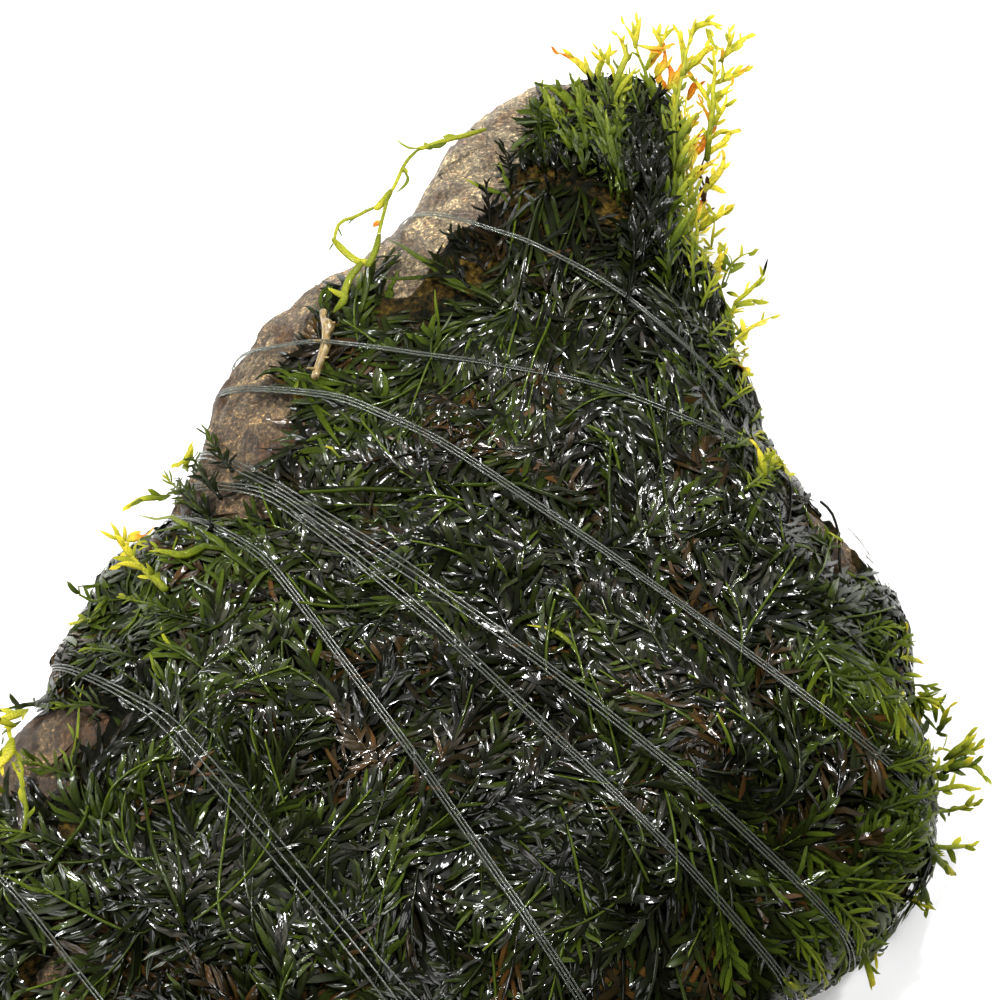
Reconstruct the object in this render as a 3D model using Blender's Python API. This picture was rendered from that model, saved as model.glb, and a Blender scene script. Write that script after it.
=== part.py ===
"""Water feather moss tied on a flat stone with clear nylon line, at rest with +Z up.

Sizes are in millimetres in plan, x to the right, y away from the viewer, and MM turns them to metres.
The stone is a rounded slab: a superellipse section swept round a free outline, with worn facets.
Every other piece is laid on it, so moving an outline point moves the moss, the shoots and the line.
"""

import math

import bpy
import numpy as np
from mathutils import Vector
from mathutils.bvhtree import BVHTree

MM = 0.001
GAP = 0.35  # air between two pieces that touch

# The stone, seen from above, counterclockwise from its right side.
STONE_OUTLINE = [
    (51, -7), (49, 2), (49, 9), (48, 14), (45, 20), (39, 25), (34, 31), (32, 37), (31, 45),
    (29, 52), (27, 59), (26, 66), (28, 75), (25, 80), (16, 81), (9, 81), (3, 75), (-2, 69),
    (-4, 62), (-10, 57), (-17, 52), (-22, 45), (-27, 36), (-30, 28), (-35, 17), (-37, 8),
    (-42, -1), (-51, -9), (-56, -21), (-54, -33), (-46, -41), (-30, -45), (-10, -47), (12, -45),
    (25, -41), (34, -34), (46, -27), (52, -17),
]
WAIST_HEIGHT = 6.5  # the level at which the stone is widest
TOP_RISE = 17.5  # from the waist to the top, at the middle
UNDER_DROP = 5.5  # from the waist to the underside
ARCH_HEIGHT = 1.6  # the underside stays this high between the feet
ARCH_RELIEF = 0.5
SECTION_POWER = 3.0  # 2 is an ellipse, and more gives flatter faces and a squarer rim
FAN_FLATNESS = 0.4  # latitudes are measured on a fan of rays this much lower than it is wide
CORNER_SPREAD = (-1.5, -0.75, 0.0, 0.75, 1.5)  # degrees over which the outline is averaged
TIP_THINNING = 0.50  # share of the rise lost at THINNING_REACH from the middle
THINNING_REACH = 80.0
FACETS = 7  # crossing sets of worn flats
FACET_DEPTH = 0.65
FACET_LENGTHS = (17.0, 46.0)
FULL_RING = 66  # points round each ring of the mesh near the rim
RING_GROWTH = 6  # points that each ring has more than the one inside it
RINGS_UNDER_MAT = 13
RINGS_BELOW_MAT = 12

# Flat spots that the stone stands on: x, y, flat radius, radius where they blend into the arch.
FEET = {
    "tip_foot": (13, 64, 6.0, 10.0),
    "right_foot": (35, 8, 5.5, 8.0),
    "left_foot": (-41, -14, 5.5, 7.5),
    "front_foot": (22.5, -35, 5.0, 7.2),
}
FOOT_TUCK = math.radians(8)  # how far below the waist a foot starts

# The lower edge of the moss as azimuth and latitude in degrees: high is where the rim is bare.
MAT_EDGE = [
    (0, 0), (9, 2), (15, 14), (27, 20), (33, 8), (38, 0), (60, 0), (70, 1), (76, 3), (81, 16),
    (84, 30), (88, 36), (94, 38), (102, 34), (108, 34), (114, 39), (118, 46), (124, 52),
    (132, 56), (142, 54), (150, 44), (155, 24), (160, 2), (168, 0), (178, 6), (184, 30),
    (190, 42), (198, 40), (203, 20), (208, 4), (226, 2), (250, 1), (300, 0), (345, 0),
]
MAT_SCALLOP = 2.5  # degrees that each tuft at the edge reaches past it
MAT_THICKNESS = 2.5
MAT_EDGE_THICKNESS = 1.0
MAT_RAMP = math.radians(24)  # the latitudes over which the moss thickens from its edge
SCALLOPS = 23
TUFTS = 8  # crossing waves that make the mat lumpy
TUFT_DEPTH = 0.75
TUFT_LENGTHS = (9.0, 17.0)

SEED = 7

# Single shoots that stand out of the mat: azimuth and latitude of the root in degrees, then the
# tip as x, y, z. Each bows from the surface's own outward direction towards its tip.
SHOOTS = {
    "tip_shoot": [
        (80, 22, (12.7, 79.9, 17)), (77, 16, (18.7, 82.1, 16)), (75, 11, (19.7, 84.4, 15)),
        (73, 20, (22.4, 84.3, 18)), (72, 4, (27, 86.9, 13)), (70, 18, (32.5, 84.9, 16)),
        (70, 3, (36.5, 85.1, 14)), (68, 16, (35.9, 80.2, 14)), (67, 6, (33.5, 72, 12)),
        (64, 8, (33, 61.6, 11)),
    ],
    "neck_shoot": [
        (60, 6, (35.7, 54.4, 13)), (56, 14, (37.1, 52.8, 14)), (52, 4, (37.4, 46.1, 12)),
        (36, 6, (36.9, 29.7, 11)),
    ],
    "side_shoot": [
        (4, 8, (52.3, 3.1, 10)), (358, 10, (54.8, -2.7, 12)), (352, 3, (58, -7.1, 11)),
        (347, 14, (58, -11.7, 12)), (343, 0, (57.3, -12.9, 9)), (339, 10, (56.7, -17.6, 9)),
        (331, -2, (51.6, -24.5, 7)), (323, 12, (44.8, -33, 9)),
    ],
    "left_shoot": [
        (149, 36, (-35.9, 19.2, 17)), (155, 22, (-39, 16.6, 16)), (162, 24, (-41.1, 9.8, 15)),
        (168, 12, (-42.1, 6.1, 14)), (185, 14, (-48.5, -4.1, 14)), (188, 40, (-47.7, -8.7, 23)),
        (197, 34, (-50.4, -12.8, 22)),
    ],
    "corner_shoot": [
        (206, 14, (-61, -27, 14)), (216, 2, (-59, -40, 8)), (224, 14, (-50, -47, 12)),
    ],
    "front_shoot": [
        (236, 4, (-36, -52, 8)), (252, 14, (-18, -52, 12)), (268, 6, (-2, -54, 9)),
        (284, 14, (13, -52, 12)), (301, 4, (30, -47, 8)),
    ],
}
SHOOT_ROOT_GAP = 0.8
SHOOT_HALF_WIDTH = 1.3
SHOOT_HALF_THICKNESS = 0.3
SHOOT_BOW = 0.4  # how far the bow follows the surface's outward direction, as a share of length
# Stations along a shoot: share of length, share of half width, forward slant of the barb there.
SHOOT_BARBS = [
    (0.00, 0.22, 0.00), (0.16, 0.90, 0.09), (0.34, 0.30, 0.00), (0.45, 1.00, 0.09),
    (0.62, 0.28, 0.00), (0.72, 0.75, 0.09), (1.00, 0.14, 0.00),
]

# A loose runner that arches off the bare rim, its fork, and an old bare stem: x, y, z, radius.
STRAY_RUNNER = [
    (3.2, 70.7, 14.6, 0.45), (-0.2, 69.6, 16.4, 0.35), (-3.3, 67.6, 17.2, 0.5), (-5.6, 65.2, 17.6, 0.35),
    (-6.9, 61.8, 18.2, 0.5), (-8.4, 58.3, 18.6, 0.55), (-10.4, 56.4, 19.0, 0.35), (-13.0, 55.4, 19.2, 0.4),
    (-14.2, 52.5, 19.4, 0.3), (-13.0, 50.0, 19.8, 0.4), (-11.2, 48.6, 20.2, 0.5), (-11.6, 46.4, 20.6, 0.4),
    (-12.6, 44.6, 20.6, 0.3),
]
RUNNER_FORK = [
    (-8.2, 57.0, 19.6, 0.3), (-8.4, 55.0, 20.0, 0.35), (-8.7, 52.6, 20.4, 0.35), (-9.4, 50.4, 20.8, 0.25),
]
OLD_STEM = [(-14.6, 42.6, 0.5), (-14.1, 38.8, 0.6), (-14.5, 35.6, 0.55), (-15.2, 32.6, 0.45)]
OLD_STEM_LIFT = 1.9  # its middle above the stone

# The tie line: one winding, passed over the top as groups of strands, from the far end to the
# near one: strands, where the group leaves the left rim, bends and reaches the right rim, and
# the steps between its strands there.
LINE_RADIUS = 0.1
LINE_CLEARANCE = 0.6  # its middle above what it lies on
LINE_KNOT_SWELL = 3.0
LINE_TAIL = 5.0  # from the last bend to each end knot
LINE_JOIN = 1.0  # rim points nearer than this are one point
LINE_GROUPS = [
    (2, (-3.0, 57.5), (10, 48.8), (33.0, 33.2), 0.9, 1.2),
    (2, (-22.0, 39.6), (-4, 34.6), (35.0, 25.0), 0.8, 1.1),
    (3, (-26.0, 34.6), (-12, 29.8), (50.0, -14.6), 0.8, 1.2),
    (3, (-28.5, 27.0), (-17, 18.0), (41.5, -29.6), 0.9, 1.3),
    (3, (-32.0, 23.2), (-20, 17.2), (37.0, -36.2), 0.8, 1.1),
    (3, (-34.0, 19.8), (-20, 9.8), (19.0, -45.6), 0.8, 1.2),
    (3, (-41.0, -1.0), (-30, -8.6), (3.0, -47.0), 1.2, 2.6),
    (2, (-52.5, -18.0), (-44, -27.0), (-28.0, -46.0), 1.0, 1.3),
]
SECTION_STEP = 0.5  # between the rays that feel the outline of a section through the whole
SECTION_MARGIN = 14.0  # how far past the route's ends the rays go on
CLEAR_HEIGHT = 100.0  # above or below everything
SIDE_HEIGHTS = (1.0, 22.0)  # rays that come in from the sides
STRAIGHTNESS = 0.25  # how far the line may pass from the taut curve


def smooth_waves(points, depth, lengths, count, seed):
    """The sum of crossing sine waves, each of its own direction and length."""
    random = np.random.default_rng(seed)
    total = np.zeros(points.shape[:-1])
    for _ in range(count):
        direction = random.normal(size=3)
        direction /= np.linalg.norm(direction)
        length = random.uniform(*lengths)
        total += np.sin(points @ direction * 2 * math.pi / length + random.uniform(0, 6.3))
    return depth * total / math.sqrt(count / 2)


def facet_waves(points, depth, lengths, count, seed):
    """The sum of crossing zigzag waves, whose straight flanks meet in worn edges."""
    random = np.random.default_rng(seed)
    total = np.zeros(points.shape[:-1])
    for _ in range(count):
        direction = random.normal(size=3)
        direction /= np.linalg.norm(direction)
        length = random.uniform(*lengths)
        phase = points @ direction / length + random.uniform(0, 1)
        total += 4 * np.abs(phase - np.floor(phase + 0.5)) - 1
    return depth * total / math.sqrt(count / 3)


def outline_radius(azimuth):
    """The distance from the middle to the outline, averaged over a few degrees to round corners."""
    outline = np.array(STONE_OUTLINE, float)
    angles = np.arctan2(outline[:, 1], outline[:, 0])
    radii = np.hypot(outline[:, 0], outline[:, 1])
    order = np.argsort(angles)
    around = np.asarray(azimuth)[..., None] + np.radians(CORNER_SPREAD)
    return np.interp(around, angles[order], radii[order], period=2 * math.pi).mean(-1)


def even_azimuths(count):
    """Azimuths that stand at equal steps along the outline, not at equal angles."""
    fine = np.linspace(-math.pi, math.pi, 2881)
    radius = outline_radius(fine)
    along = np.stack([radius * np.cos(fine), radius * np.sin(fine)], -1)
    length = np.concatenate([[0], np.cumsum(np.linalg.norm(np.diff(along, axis=0), axis=1))])
    return np.interp(np.arange(count) * length[-1] / count, length, fine)


def slab_point(azimuth, latitude):
    """The smooth slab: where the ray at this azimuth and latitude meets the superellipse."""
    azimuth, latitude = np.broadcast_arrays(azimuth, latitude)
    out = np.cos(latitude)
    up = np.sin(latitude) * FAN_FLATNESS
    rise = np.where(up > 0, TOP_RISE, UNDER_DROP)
    radius = outline_radius(azimuth)
    level = ((out / radius) ** SECTION_POWER + (np.abs(up) / rise) ** SECTION_POWER) ** (
        1 / SECTION_POWER
    )
    return np.stack([np.cos(azimuth) * out / level, np.sin(azimuth) * out / level, up / level], -1)


def slab_normal(azimuth, point):
    """The outward direction of the smooth slab there."""
    radius = outline_radius(azimuth)
    reach = np.hypot(point[..., 0], point[..., 1])
    rise = np.where(point[..., 2] > 0, TOP_RISE, UNDER_DROP)
    out = (reach / radius) ** (SECTION_POWER - 1) / radius
    up = np.sign(point[..., 2]) * (np.abs(point[..., 2]) / rise) ** (SECTION_POWER - 1) / rise
    normal = np.stack([np.cos(azimuth) * out, np.sin(azimuth) * out, up], -1)
    return normal / np.linalg.norm(normal, axis=-1, keepdims=True)


def stone_surface(azimuth, latitude):
    """Points and outward directions of the finished stone, in millimetres above the ground."""
    azimuth, latitude = np.broadcast_arrays(azimuth, latitude)
    base = slab_point(azimuth, latitude)
    normal = slab_normal(azimuth, base)
    relief = facet_waves(base, FACET_DEPTH, FACET_LENGTHS, FACETS, SEED)
    point = base + normal * relief[..., None]
    reach = np.hypot(point[..., 0], point[..., 1])
    thinning = 1 - TIP_THINNING * (reach / THINNING_REACH) ** 2
    point[..., 2] *= np.where(point[..., 2] > 0, thinning, 1)
    point[..., 2] += WAIST_HEIGHT
    arch = ARCH_HEIGHT + ARCH_RELIEF * relief / FACET_DEPTH
    point[..., 2] = np.where(latitude < 0, np.maximum(point[..., 2], arch), point[..., 2])
    for x, y, flat, blend in FEET.values():
        away = np.hypot(point[..., 0] - x, point[..., 1] - y)
        share = np.clip((blend - away) / (blend - flat), 0, 1)
        share = share * share * (3 - 2 * share) * np.clip(-latitude / FOOT_TUCK, 0, 1)
        point[..., 2] *= 1 - share
    return point, normal


def mat_edge(azimuth):
    """The latitude at which the moss ends, with a scallop for each tuft along its edge."""
    degrees, latitudes = np.array(MAT_EDGE, float).T
    edge = np.interp(np.degrees(azimuth), degrees, latitudes, period=360)
    return np.radians(edge + MAT_SCALLOP * np.sin(np.asarray(azimuth) * SCALLOPS))


def mat_thickness(azimuth, latitude, base):
    """Full over the top, thin at the edge, and lumpy where tufts lie over each other."""
    rise = np.clip((latitude - mat_edge(azimuth)) / MAT_RAMP, 0, 1)
    body = MAT_EDGE_THICKNESS + (MAT_THICKNESS - MAT_EDGE_THICKNESS) * rise
    return body + rise * smooth_waves(base, TUFT_DEPTH, TUFT_LENGTHS, TUFTS, SEED + 1)


def mat_surface(azimuth, latitude):
    """Points and outward directions of the top of the moss."""
    azimuth, latitude = np.broadcast_arrays(azimuth, latitude)
    point, normal = stone_surface(azimuth, latitude)
    thick = mat_thickness(azimuth, latitude, point)
    return point + normal * thick[..., None], normal


def latitudes_between(azimuths, start, end, share):
    """The latitude a share of the way along the slab's section from start to end, per azimuth."""
    found = []
    for azimuth, first, last in zip(azimuths, *np.broadcast_arrays(start, end)):
        fine = np.linspace(first, last, 121)
        steps = np.linalg.norm(np.diff(slab_point(azimuth, fine), axis=0), axis=1)
        length = np.concatenate([[0], np.cumsum(steps)])
        found.append(np.interp(share * length[-1], length, fine))
    return np.array(found)


def stone_rings():
    """Azimuths and latitudes of the rings from the top down: the last one under the mat is its edge."""
    rings = []
    pole = math.pi / 2
    for number in range(1, RINGS_UNDER_MAT + 1):
        azimuths = even_azimuths(min(number * RING_GROWTH, FULL_RING))
        edge = mat_edge(azimuths)
        share = number / RINGS_UNDER_MAT
        rings.append((azimuths, latitudes_between(azimuths, pole + 0 * edge, edge, share)))
    for number in range(1, RINGS_BELOW_MAT + 1):
        left = RINGS_BELOW_MAT + 1 - number
        azimuths = even_azimuths(min(left * RING_GROWTH, FULL_RING))
        edge = mat_edge(azimuths)
        share = number / (RINGS_BELOW_MAT + 1)
        rings.append((azimuths, latitudes_between(azimuths, edge, -pole + 0 * edge, share)))
    return rings


def add_material(name, colour, roughness, transmission=0.0):
    material = bpy.data.materials.new(name)
    material.use_nodes = True
    shader = material.node_tree.nodes["Principled BSDF"]
    shader.inputs["Base Color"].default_value = (*colour, 1)
    shader.inputs["Roughness"].default_value = roughness
    shader.inputs["Transmission Weight"].default_value = transmission
    material.diffuse_color = (*colour, 1)
    return material


def add_object(name, data, material, parent):
    piece = bpy.data.objects.new(name, data)
    piece.data.materials.append(material)
    piece.parent = parent
    bpy.context.scene.collection.objects.link(piece)
    return piece


def mesh_from(name, points, faces):
    mesh = bpy.data.meshes.new(name)
    mesh.from_pydata((np.asarray(points) * MM).tolist(), [], faces)
    mesh.validate()
    return mesh


def zip_rings(upper, upper_count, lower, lower_count):
    """Triangles between two rings that start at the same azimuth, facing away from the middle."""
    faces = []
    above = below = 0
    while above < upper_count or below < lower_count:
        here = upper + above % upper_count
        under = lower + below % lower_count
        if (below + 1) * upper_count <= (above + 1) * lower_count:
            below += 1
            faces.append((here, under, lower + below % lower_count))
        else:
            above += 1
            faces.append((here, under, upper + above % upper_count))
    return faces


def sheet_of(rings, surface):
    """Points and faces of a cap that starts at the top pole and ends at the last ring."""
    points = [surface(0.0, math.pi / 2).reshape(1, 3)]
    points += [surface(azimuths, latitudes) for azimuths, latitudes in rings]
    starts = np.cumsum([0] + [len(ring) for ring in points])
    faces = []
    for number in range(len(rings)):
        counts = len(points[number]), len(points[number + 1])
        faces += zip_rings(int(starts[number]), counts[0], int(starts[number + 1]), counts[1])
    return np.concatenate(points), [face for face in faces if len(set(face)) == 3]


def make_stone():
    """A cap of rings from the top pole down to the last ring, closed at the bottom pole."""
    rings = stone_rings()
    points, faces = sheet_of(rings, lambda *place: stone_surface(*place)[0])
    last = len(rings[-1][0])
    pole, _ = stone_surface(0.0, -math.pi / 2)
    points = np.concatenate([points, pole.reshape(1, 3)])
    faces += zip_rings(len(points) - 1 - last, last, len(points) - 1, 1)
    return points, [face for face in faces if len(set(face)) == 3]


def over_stone(azimuth, latitude):
    """The underside of the mat, a gap above the stone."""
    point, normal = stone_surface(azimuth, latitude)
    return point + normal * GAP


def make_moss_mat():
    """A sheet over the stone's own rings: its top, its underside, and the edge that joins them."""
    rings = stone_rings()[:RINGS_UNDER_MAT]
    over, top_faces = sheet_of(rings, lambda *place: mat_surface(*place)[0])
    under, _ = sheet_of(rings, over_stone)
    below = len(over)
    last = below - FULL_RING
    faces = top_faces + [tuple(corner + below for corner in reversed(face)) for face in top_faces]
    faces += zip_rings(last, FULL_RING, below + last, FULL_RING)
    return np.concatenate([over, under]), faces


def root_of(azimuth, latitude):
    """Where a shoot leaves the moss, or the bare stone past its edge, and the way out of it."""
    azimuth = np.radians([azimuth])
    latitude = np.radians([latitude])
    mossy = latitude[0] > mat_edge(azimuth)[0]
    point, normal = mat_surface(azimuth, latitude) if mossy else stone_surface(azimuth, latitude)
    return point[0] + normal[0] * SHOOT_ROOT_GAP, normal[0]


def make_shoot(root, outward, tip):
    """A flat barbed blade on a bow from root to tip: left, top, right and bottom at each station.

    The triangles above and below share their diagonals, so the two faces can't cross.
    """
    tip = np.array(tip, float)
    length = np.linalg.norm(tip - root)
    bow = root + outward * length * SHOOT_BOW
    side = np.cross(tip - root, outward)
    side /= np.linalg.norm(side)
    points = []
    for share, width, slant in SHOOT_BARBS:
        centre, way = bow_point(root, bow, tip, share)
        ahead, _ = bow_point(root, bow, tip, min(share + slant, 1))
        face = np.cross(side, way)
        reach = side * width * SHOOT_HALF_WIDTH
        thick = face * SHOOT_HALF_THICKNESS * (1 - 0.7 * share)
        points += [ahead - reach, centre + thick, ahead + reach, centre - thick]
    last = len(points) - 4
    faces = [(3, 2, 1, 0), (last, last + 1, last + 2, last + 3)]
    for near in range(0, last, 4):
        for corner in range(4):
            first, second = near + corner, near + (corner + 1) % 4
            if corner % 2 == 0:
                faces += [(first, second, first + 4), (second, second + 4, first + 4)]
            else:
                faces += [(first, second, second + 4), (first, second + 4, first + 4)]
    return points, faces


def bow_point(root, bow, tip, share):
    """A point of the quadratic curve that leaves root towards bow and ends at tip, and its way."""
    point = (1 - share) ** 2 * root + 2 * share * (1 - share) * bow + share**2 * tip
    way = 2 * (1 - share) * (bow - root) + 2 * share * (tip - bow)
    return point, way / np.linalg.norm(way)


def make_tube(name, points, radii, sides_setting):
    """A curve through these points with a round section of these radii."""
    curve = bpy.data.curves.new(name, "CURVE")
    curve.dimensions = "3D"
    curve.bevel_depth = MM
    curve.bevel_resolution = sides_setting
    curve.use_fill_caps = True
    spline = curve.splines.new("POLY")
    spline.points.add(len(points) - 1)
    for target, point, radius in zip(spline.points, points, radii):
        target.co = (*(np.asarray(point) * MM), 1)
        target.radius = radius
    return curve


def height_over(tree, x, y):
    """The height of the first surface met from above."""
    hit = tree.ray_cast(Vector((x, y, CLEAR_HEIGHT)), Vector((0, 0, -1)))[0]
    return hit.z if hit else 0.0


def evaluated_mesh(piece):
    """Points in millimetres and faces of a curve as the viewport shows it."""
    evaluated = piece.evaluated_get(bpy.context.evaluated_depsgraph_get())
    mesh = evaluated.to_mesh()
    points = [tuple(vertex.co / MM) for vertex in mesh.vertices]
    faces = [tuple(polygon.vertices) for polygon in mesh.polygons]
    evaluated.to_mesh_clear()
    return points, faces


def tree_of(*pieces):
    """One search tree over several pieces, each given as points and faces."""
    points = []
    faces = []
    for piece_points, piece_faces in pieces:
        first = len(points)
        points += [Vector(point) for point in piece_points]
        faces += [tuple(corner + first for corner in face) for face in piece_faces]
    return BVHTree.FromPolygons(points, faces)


def legs_of(route):
    """Each straight leg of a route in plan: where it starts, its way, and its length."""
    route = [np.array(place, float) for place in route]
    legs = []
    for start, end in zip(route, route[1:]):
        length = np.linalg.norm(end - start)
        legs.append((start, (end - start) / length, length))
    return legs


def route_place(legs, along):
    """The place in plan at this distance along a route, whose end legs run on past its ends."""
    for start, way, length in legs[:-1]:
        if along < length:
            return start + way * along
        along -= length
    start, way, _ = legs[-1]
    return start + way * along


def section_of(tree, legs):
    """Outline points in the upright plane over a route, as distance along it and height."""
    total = sum(length for _, _, length in legs)
    section = []
    for along in np.arange(-SECTION_MARGIN, total + SECTION_MARGIN, SECTION_STEP):
        x, y = route_place(legs, along)
        for from_height, up in ((CLEAR_HEIGHT, -1), (-CLEAR_HEIGHT, 1)):
            hit = tree.ray_cast(Vector((x, y, from_height)), Vector((0, 0, up)))[0]
            if hit:
                section.append((float(along), hit.z))
    for height in np.arange(*SIDE_HEIGHTS, SECTION_STEP):
        for end, way, first in ((-SECTION_MARGIN, 1, 0), (total + SECTION_MARGIN, -1, -1)):
            origin = Vector((*route_place(legs, end), height))
            heading = Vector((*(legs[first][1] * way), 0))
            distance = tree.ray_cast(origin, heading)[3]
            if distance and distance < 2 * SECTION_MARGIN:
                section.append((float(end + way * distance), float(height)))
    return section


def turn(first, second, third):
    """Positive where the three points turn left."""
    ahead = (second[0] - first[0], second[1] - first[1])
    return ahead[0] * (third[1] - first[1]) - ahead[1] * (third[0] - first[0])


def taut_chain(section, side):
    """The half of the convex hull over (side 1) or under (side -1) the section."""
    chain = []
    for point in sorted(set(section), key=lambda place: (place[0], side * place[1])):
        while len(chain) > 1 and side * turn(chain[-2], chain[-1], point) >= 0:
            chain.pop()
        chain.append(point)
    return np.array(chain)


def lift_off(chain, side):
    """Moves a chain away from the section by the line's clearance, along its own normals."""
    ways = np.diff(chain, axis=0)
    normals = np.stack([-ways[:, 1], ways[:, 0]], 1) * side
    normals /= np.linalg.norm(normals, axis=1, keepdims=True)
    around = np.concatenate([[[-1.0, 0.0]], normals, [[1.0, 0.0]]])
    mean = around[:-1] + around[1:]
    mean /= np.linalg.norm(mean, axis=1, keepdims=True)
    return chain + mean * LINE_CLEARANCE


def straighten(chain):
    """Drops the points that a straight run passes within STRAIGHTNESS."""
    if len(chain) < 3:
        return chain
    way = chain[-1] - chain[0]
    away = np.abs(way[0] * (chain[:, 1] - chain[0, 1]) - way[1] * (chain[:, 0] - chain[0, 0]))
    far = int(away.argmax())
    if away[far] < STRAIGHTNESS * np.linalg.norm(way):
        return chain[[0, -1]]
    return np.concatenate([straighten(chain[: far + 1])[:-1], straighten(chain[far:])])


def add_stop(chain, along):
    """Adds the chain's own point at this distance, unless it has one there."""
    if not chain[0, 0] < along < chain[-1, 0] or np.abs(chain[:, 0] - along).min() < 0.3:
        return chain
    height = np.interp(along, chain[:, 0], chain[:, 1])
    return np.insert(chain, int((chain[:, 0] < along).sum()), (along, height), axis=0)


def taut_path(tree, route, side):
    """The line's path over (side 1) or under (side -1) the stone and moss along a route."""
    legs = legs_of(route)
    chain = straighten(lift_off(taut_chain(section_of(tree, legs), side), side))
    for number in range(1, len(legs)):
        chain = add_stop(chain, sum(length for _, _, length in legs[:number]))
    chain[:, 1] = np.maximum(chain[:, 1], LINE_RADIUS * 2)
    return [np.array((*route_place(legs, along), height)) for along, height in chain]


def rim_place(tree, bend, through):
    """Where the upright plane from a bend through a point leaves the rim at its widest level."""
    way = (through - bend) / np.linalg.norm(through - bend)
    outside = bend + way * THINNING_REACH * 1.5
    hit = tree.ray_cast(Vector((*outside, WAIST_HEIGHT)), Vector((*-way, 0)))[0]
    return np.array(hit)[:2]


def strand_routes(tree):
    """Left rim, bend and right rim of every strand in plan, from the far one to the near one."""
    routes = []
    for count, left, bend, right, left_step, right_step in LINE_GROUPS:
        left, bend, right = (np.array(place, float) for place in (left, bend, right))
        way = (right - left) / np.linalg.norm(right - left)
        nearer = np.array([way[1], -way[0]])
        for number in range(count):
            shift = nearer * (number - (count - 1) / 2)
            middle = bend + shift * (left_step + right_step) / 2
            start = rim_place(tree, middle, left + shift * left_step)
            routes.append((start, middle, rim_place(tree, middle, right + shift * right_step)))
    return routes


def with_knot(path):
    """Ends a path in a small knot: three more points, the first two swollen."""
    way = path[-1] - path[-2]
    way /= np.linalg.norm(way)
    swell = LINE_RADIUS * LINE_KNOT_SWELL
    lengthened = path + [path[-1] + way * LINE_RADIUS * step for step in (2, 6, 8)]
    return lengthened, [swell, swell, LINE_RADIUS]


def tail_under(tree, rim, far_rim):
    """The last stretch of the line, from the rim to its knot on the underside."""
    points = taut_path(tree, (rim, far_rim), -1)
    tucked = next(n for n, point in enumerate(points) if point[2] < WAIST_HEIGHT / 2)
    way = points[tucked + 1] - points[tucked]
    return points[: tucked + 1] + [points[tucked] + way * LINE_TAIL / np.linalg.norm(way)]


def winding(tree):
    """The whole line: over the top along each strand, and back under to the next one's start."""
    routes = strand_routes(tree)
    passes = [tail_under(tree, routes[0][0], routes[0][-1])[::-1]]
    for number, route in enumerate(routes):
        passes.append(taut_path(tree, route, 1))
        if number + 1 < len(routes):
            passes.append(taut_path(tree, (route[-1], routes[number + 1][0]), -1))
    passes.append(tail_under(tree, routes[-1][-1], routes[-1][0]))
    path = []
    for points in passes:
        meets = path and np.linalg.norm(points[0] - path[-1]) < LINE_JOIN
        path += points[1:] if meets else points
    path, last_radii = with_knot(path)
    path, first_radii = with_knot(path[::-1])
    middle = [LINE_RADIUS] * (len(path) - len(first_radii) - len(last_radii))
    return path, last_radii[::-1] + middle + first_radii


def build():
    for leftover in list(bpy.data.objects):
        bpy.data.objects.remove(leftover, do_unlink=True)
    rock = add_material("wet_rock", (0.16, 0.14, 0.115), 0.45)
    moss = add_material("wet_moss", (0.035, 0.06, 0.012), 0.3)
    fresh = add_material("fresh_shoots", (0.42, 0.46, 0.05), 0.35)
    bark = add_material("old_stem_skin", (0.33, 0.24, 0.11), 0.5)
    nylon = add_material("nylon_line", (0.85, 0.87, 0.85), 0.1, transmission=0.9)
    specimen = bpy.data.objects.new("specimen", None)
    bpy.context.scene.collection.objects.link(specimen)

    stone = make_stone()
    add_object("stone", mesh_from("stone", *stone), rock, specimen)
    mat = make_moss_mat()
    add_object("moss_mat", mesh_from("moss_mat", *mat), moss, specimen)
    for place, shoots in SHOOTS.items():
        for number, (azimuth, latitude, tip) in enumerate(shoots, 1):
            name = f"{place}_{number}"
            blade = make_shoot(*root_of(azimuth, latitude), tip)
            add_object(name, mesh_from(name, *blade), fresh, specimen)

    for name, route in (("stray_runner", STRAY_RUNNER), ("stray_runner_fork", RUNNER_FORK)):
        points = [place[:3] for place in route]
        radii = [place[3] for place in route]
        add_object(name, make_tube(name, points, radii, 0), fresh, specimen)
    ground = tree_of(stone, mat)
    points = [(x, y, height_over(ground, x, y) + OLD_STEM_LIFT) for x, y, _ in OLD_STEM]
    radii = [radius for _, _, radius in OLD_STEM]
    stem = add_object("old_stem", make_tube("old_stem", points, radii, 1), bark, specimen)
    held = tree_of(stone, mat, evaluated_mesh(stem))
    add_object("tie_line", make_tube("tie_line", *winding(held), 0), nylon, specimen)

    bpy.context.view_layer.update()
    corners = [Vector(corner) for piece in specimen.children for corner in piece.bound_box]
    for axis in range(2):
        places = [corner[axis] for corner in corners]
        specimen.location[axis] = -(min(places) + max(places)) / 2
    bpy.context.view_layer.update()


build()
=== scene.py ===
# Wet feather moss tied on a flat stone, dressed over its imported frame.
# Shapes are worked out in millimetres in the plan of the stone, x right, y away, z up,
# and planShift moves them to the frame, where meshes are in metres.
import math

import bpy
import numpy as np
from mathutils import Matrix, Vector
from mathutils.kdtree import KDTree


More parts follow.
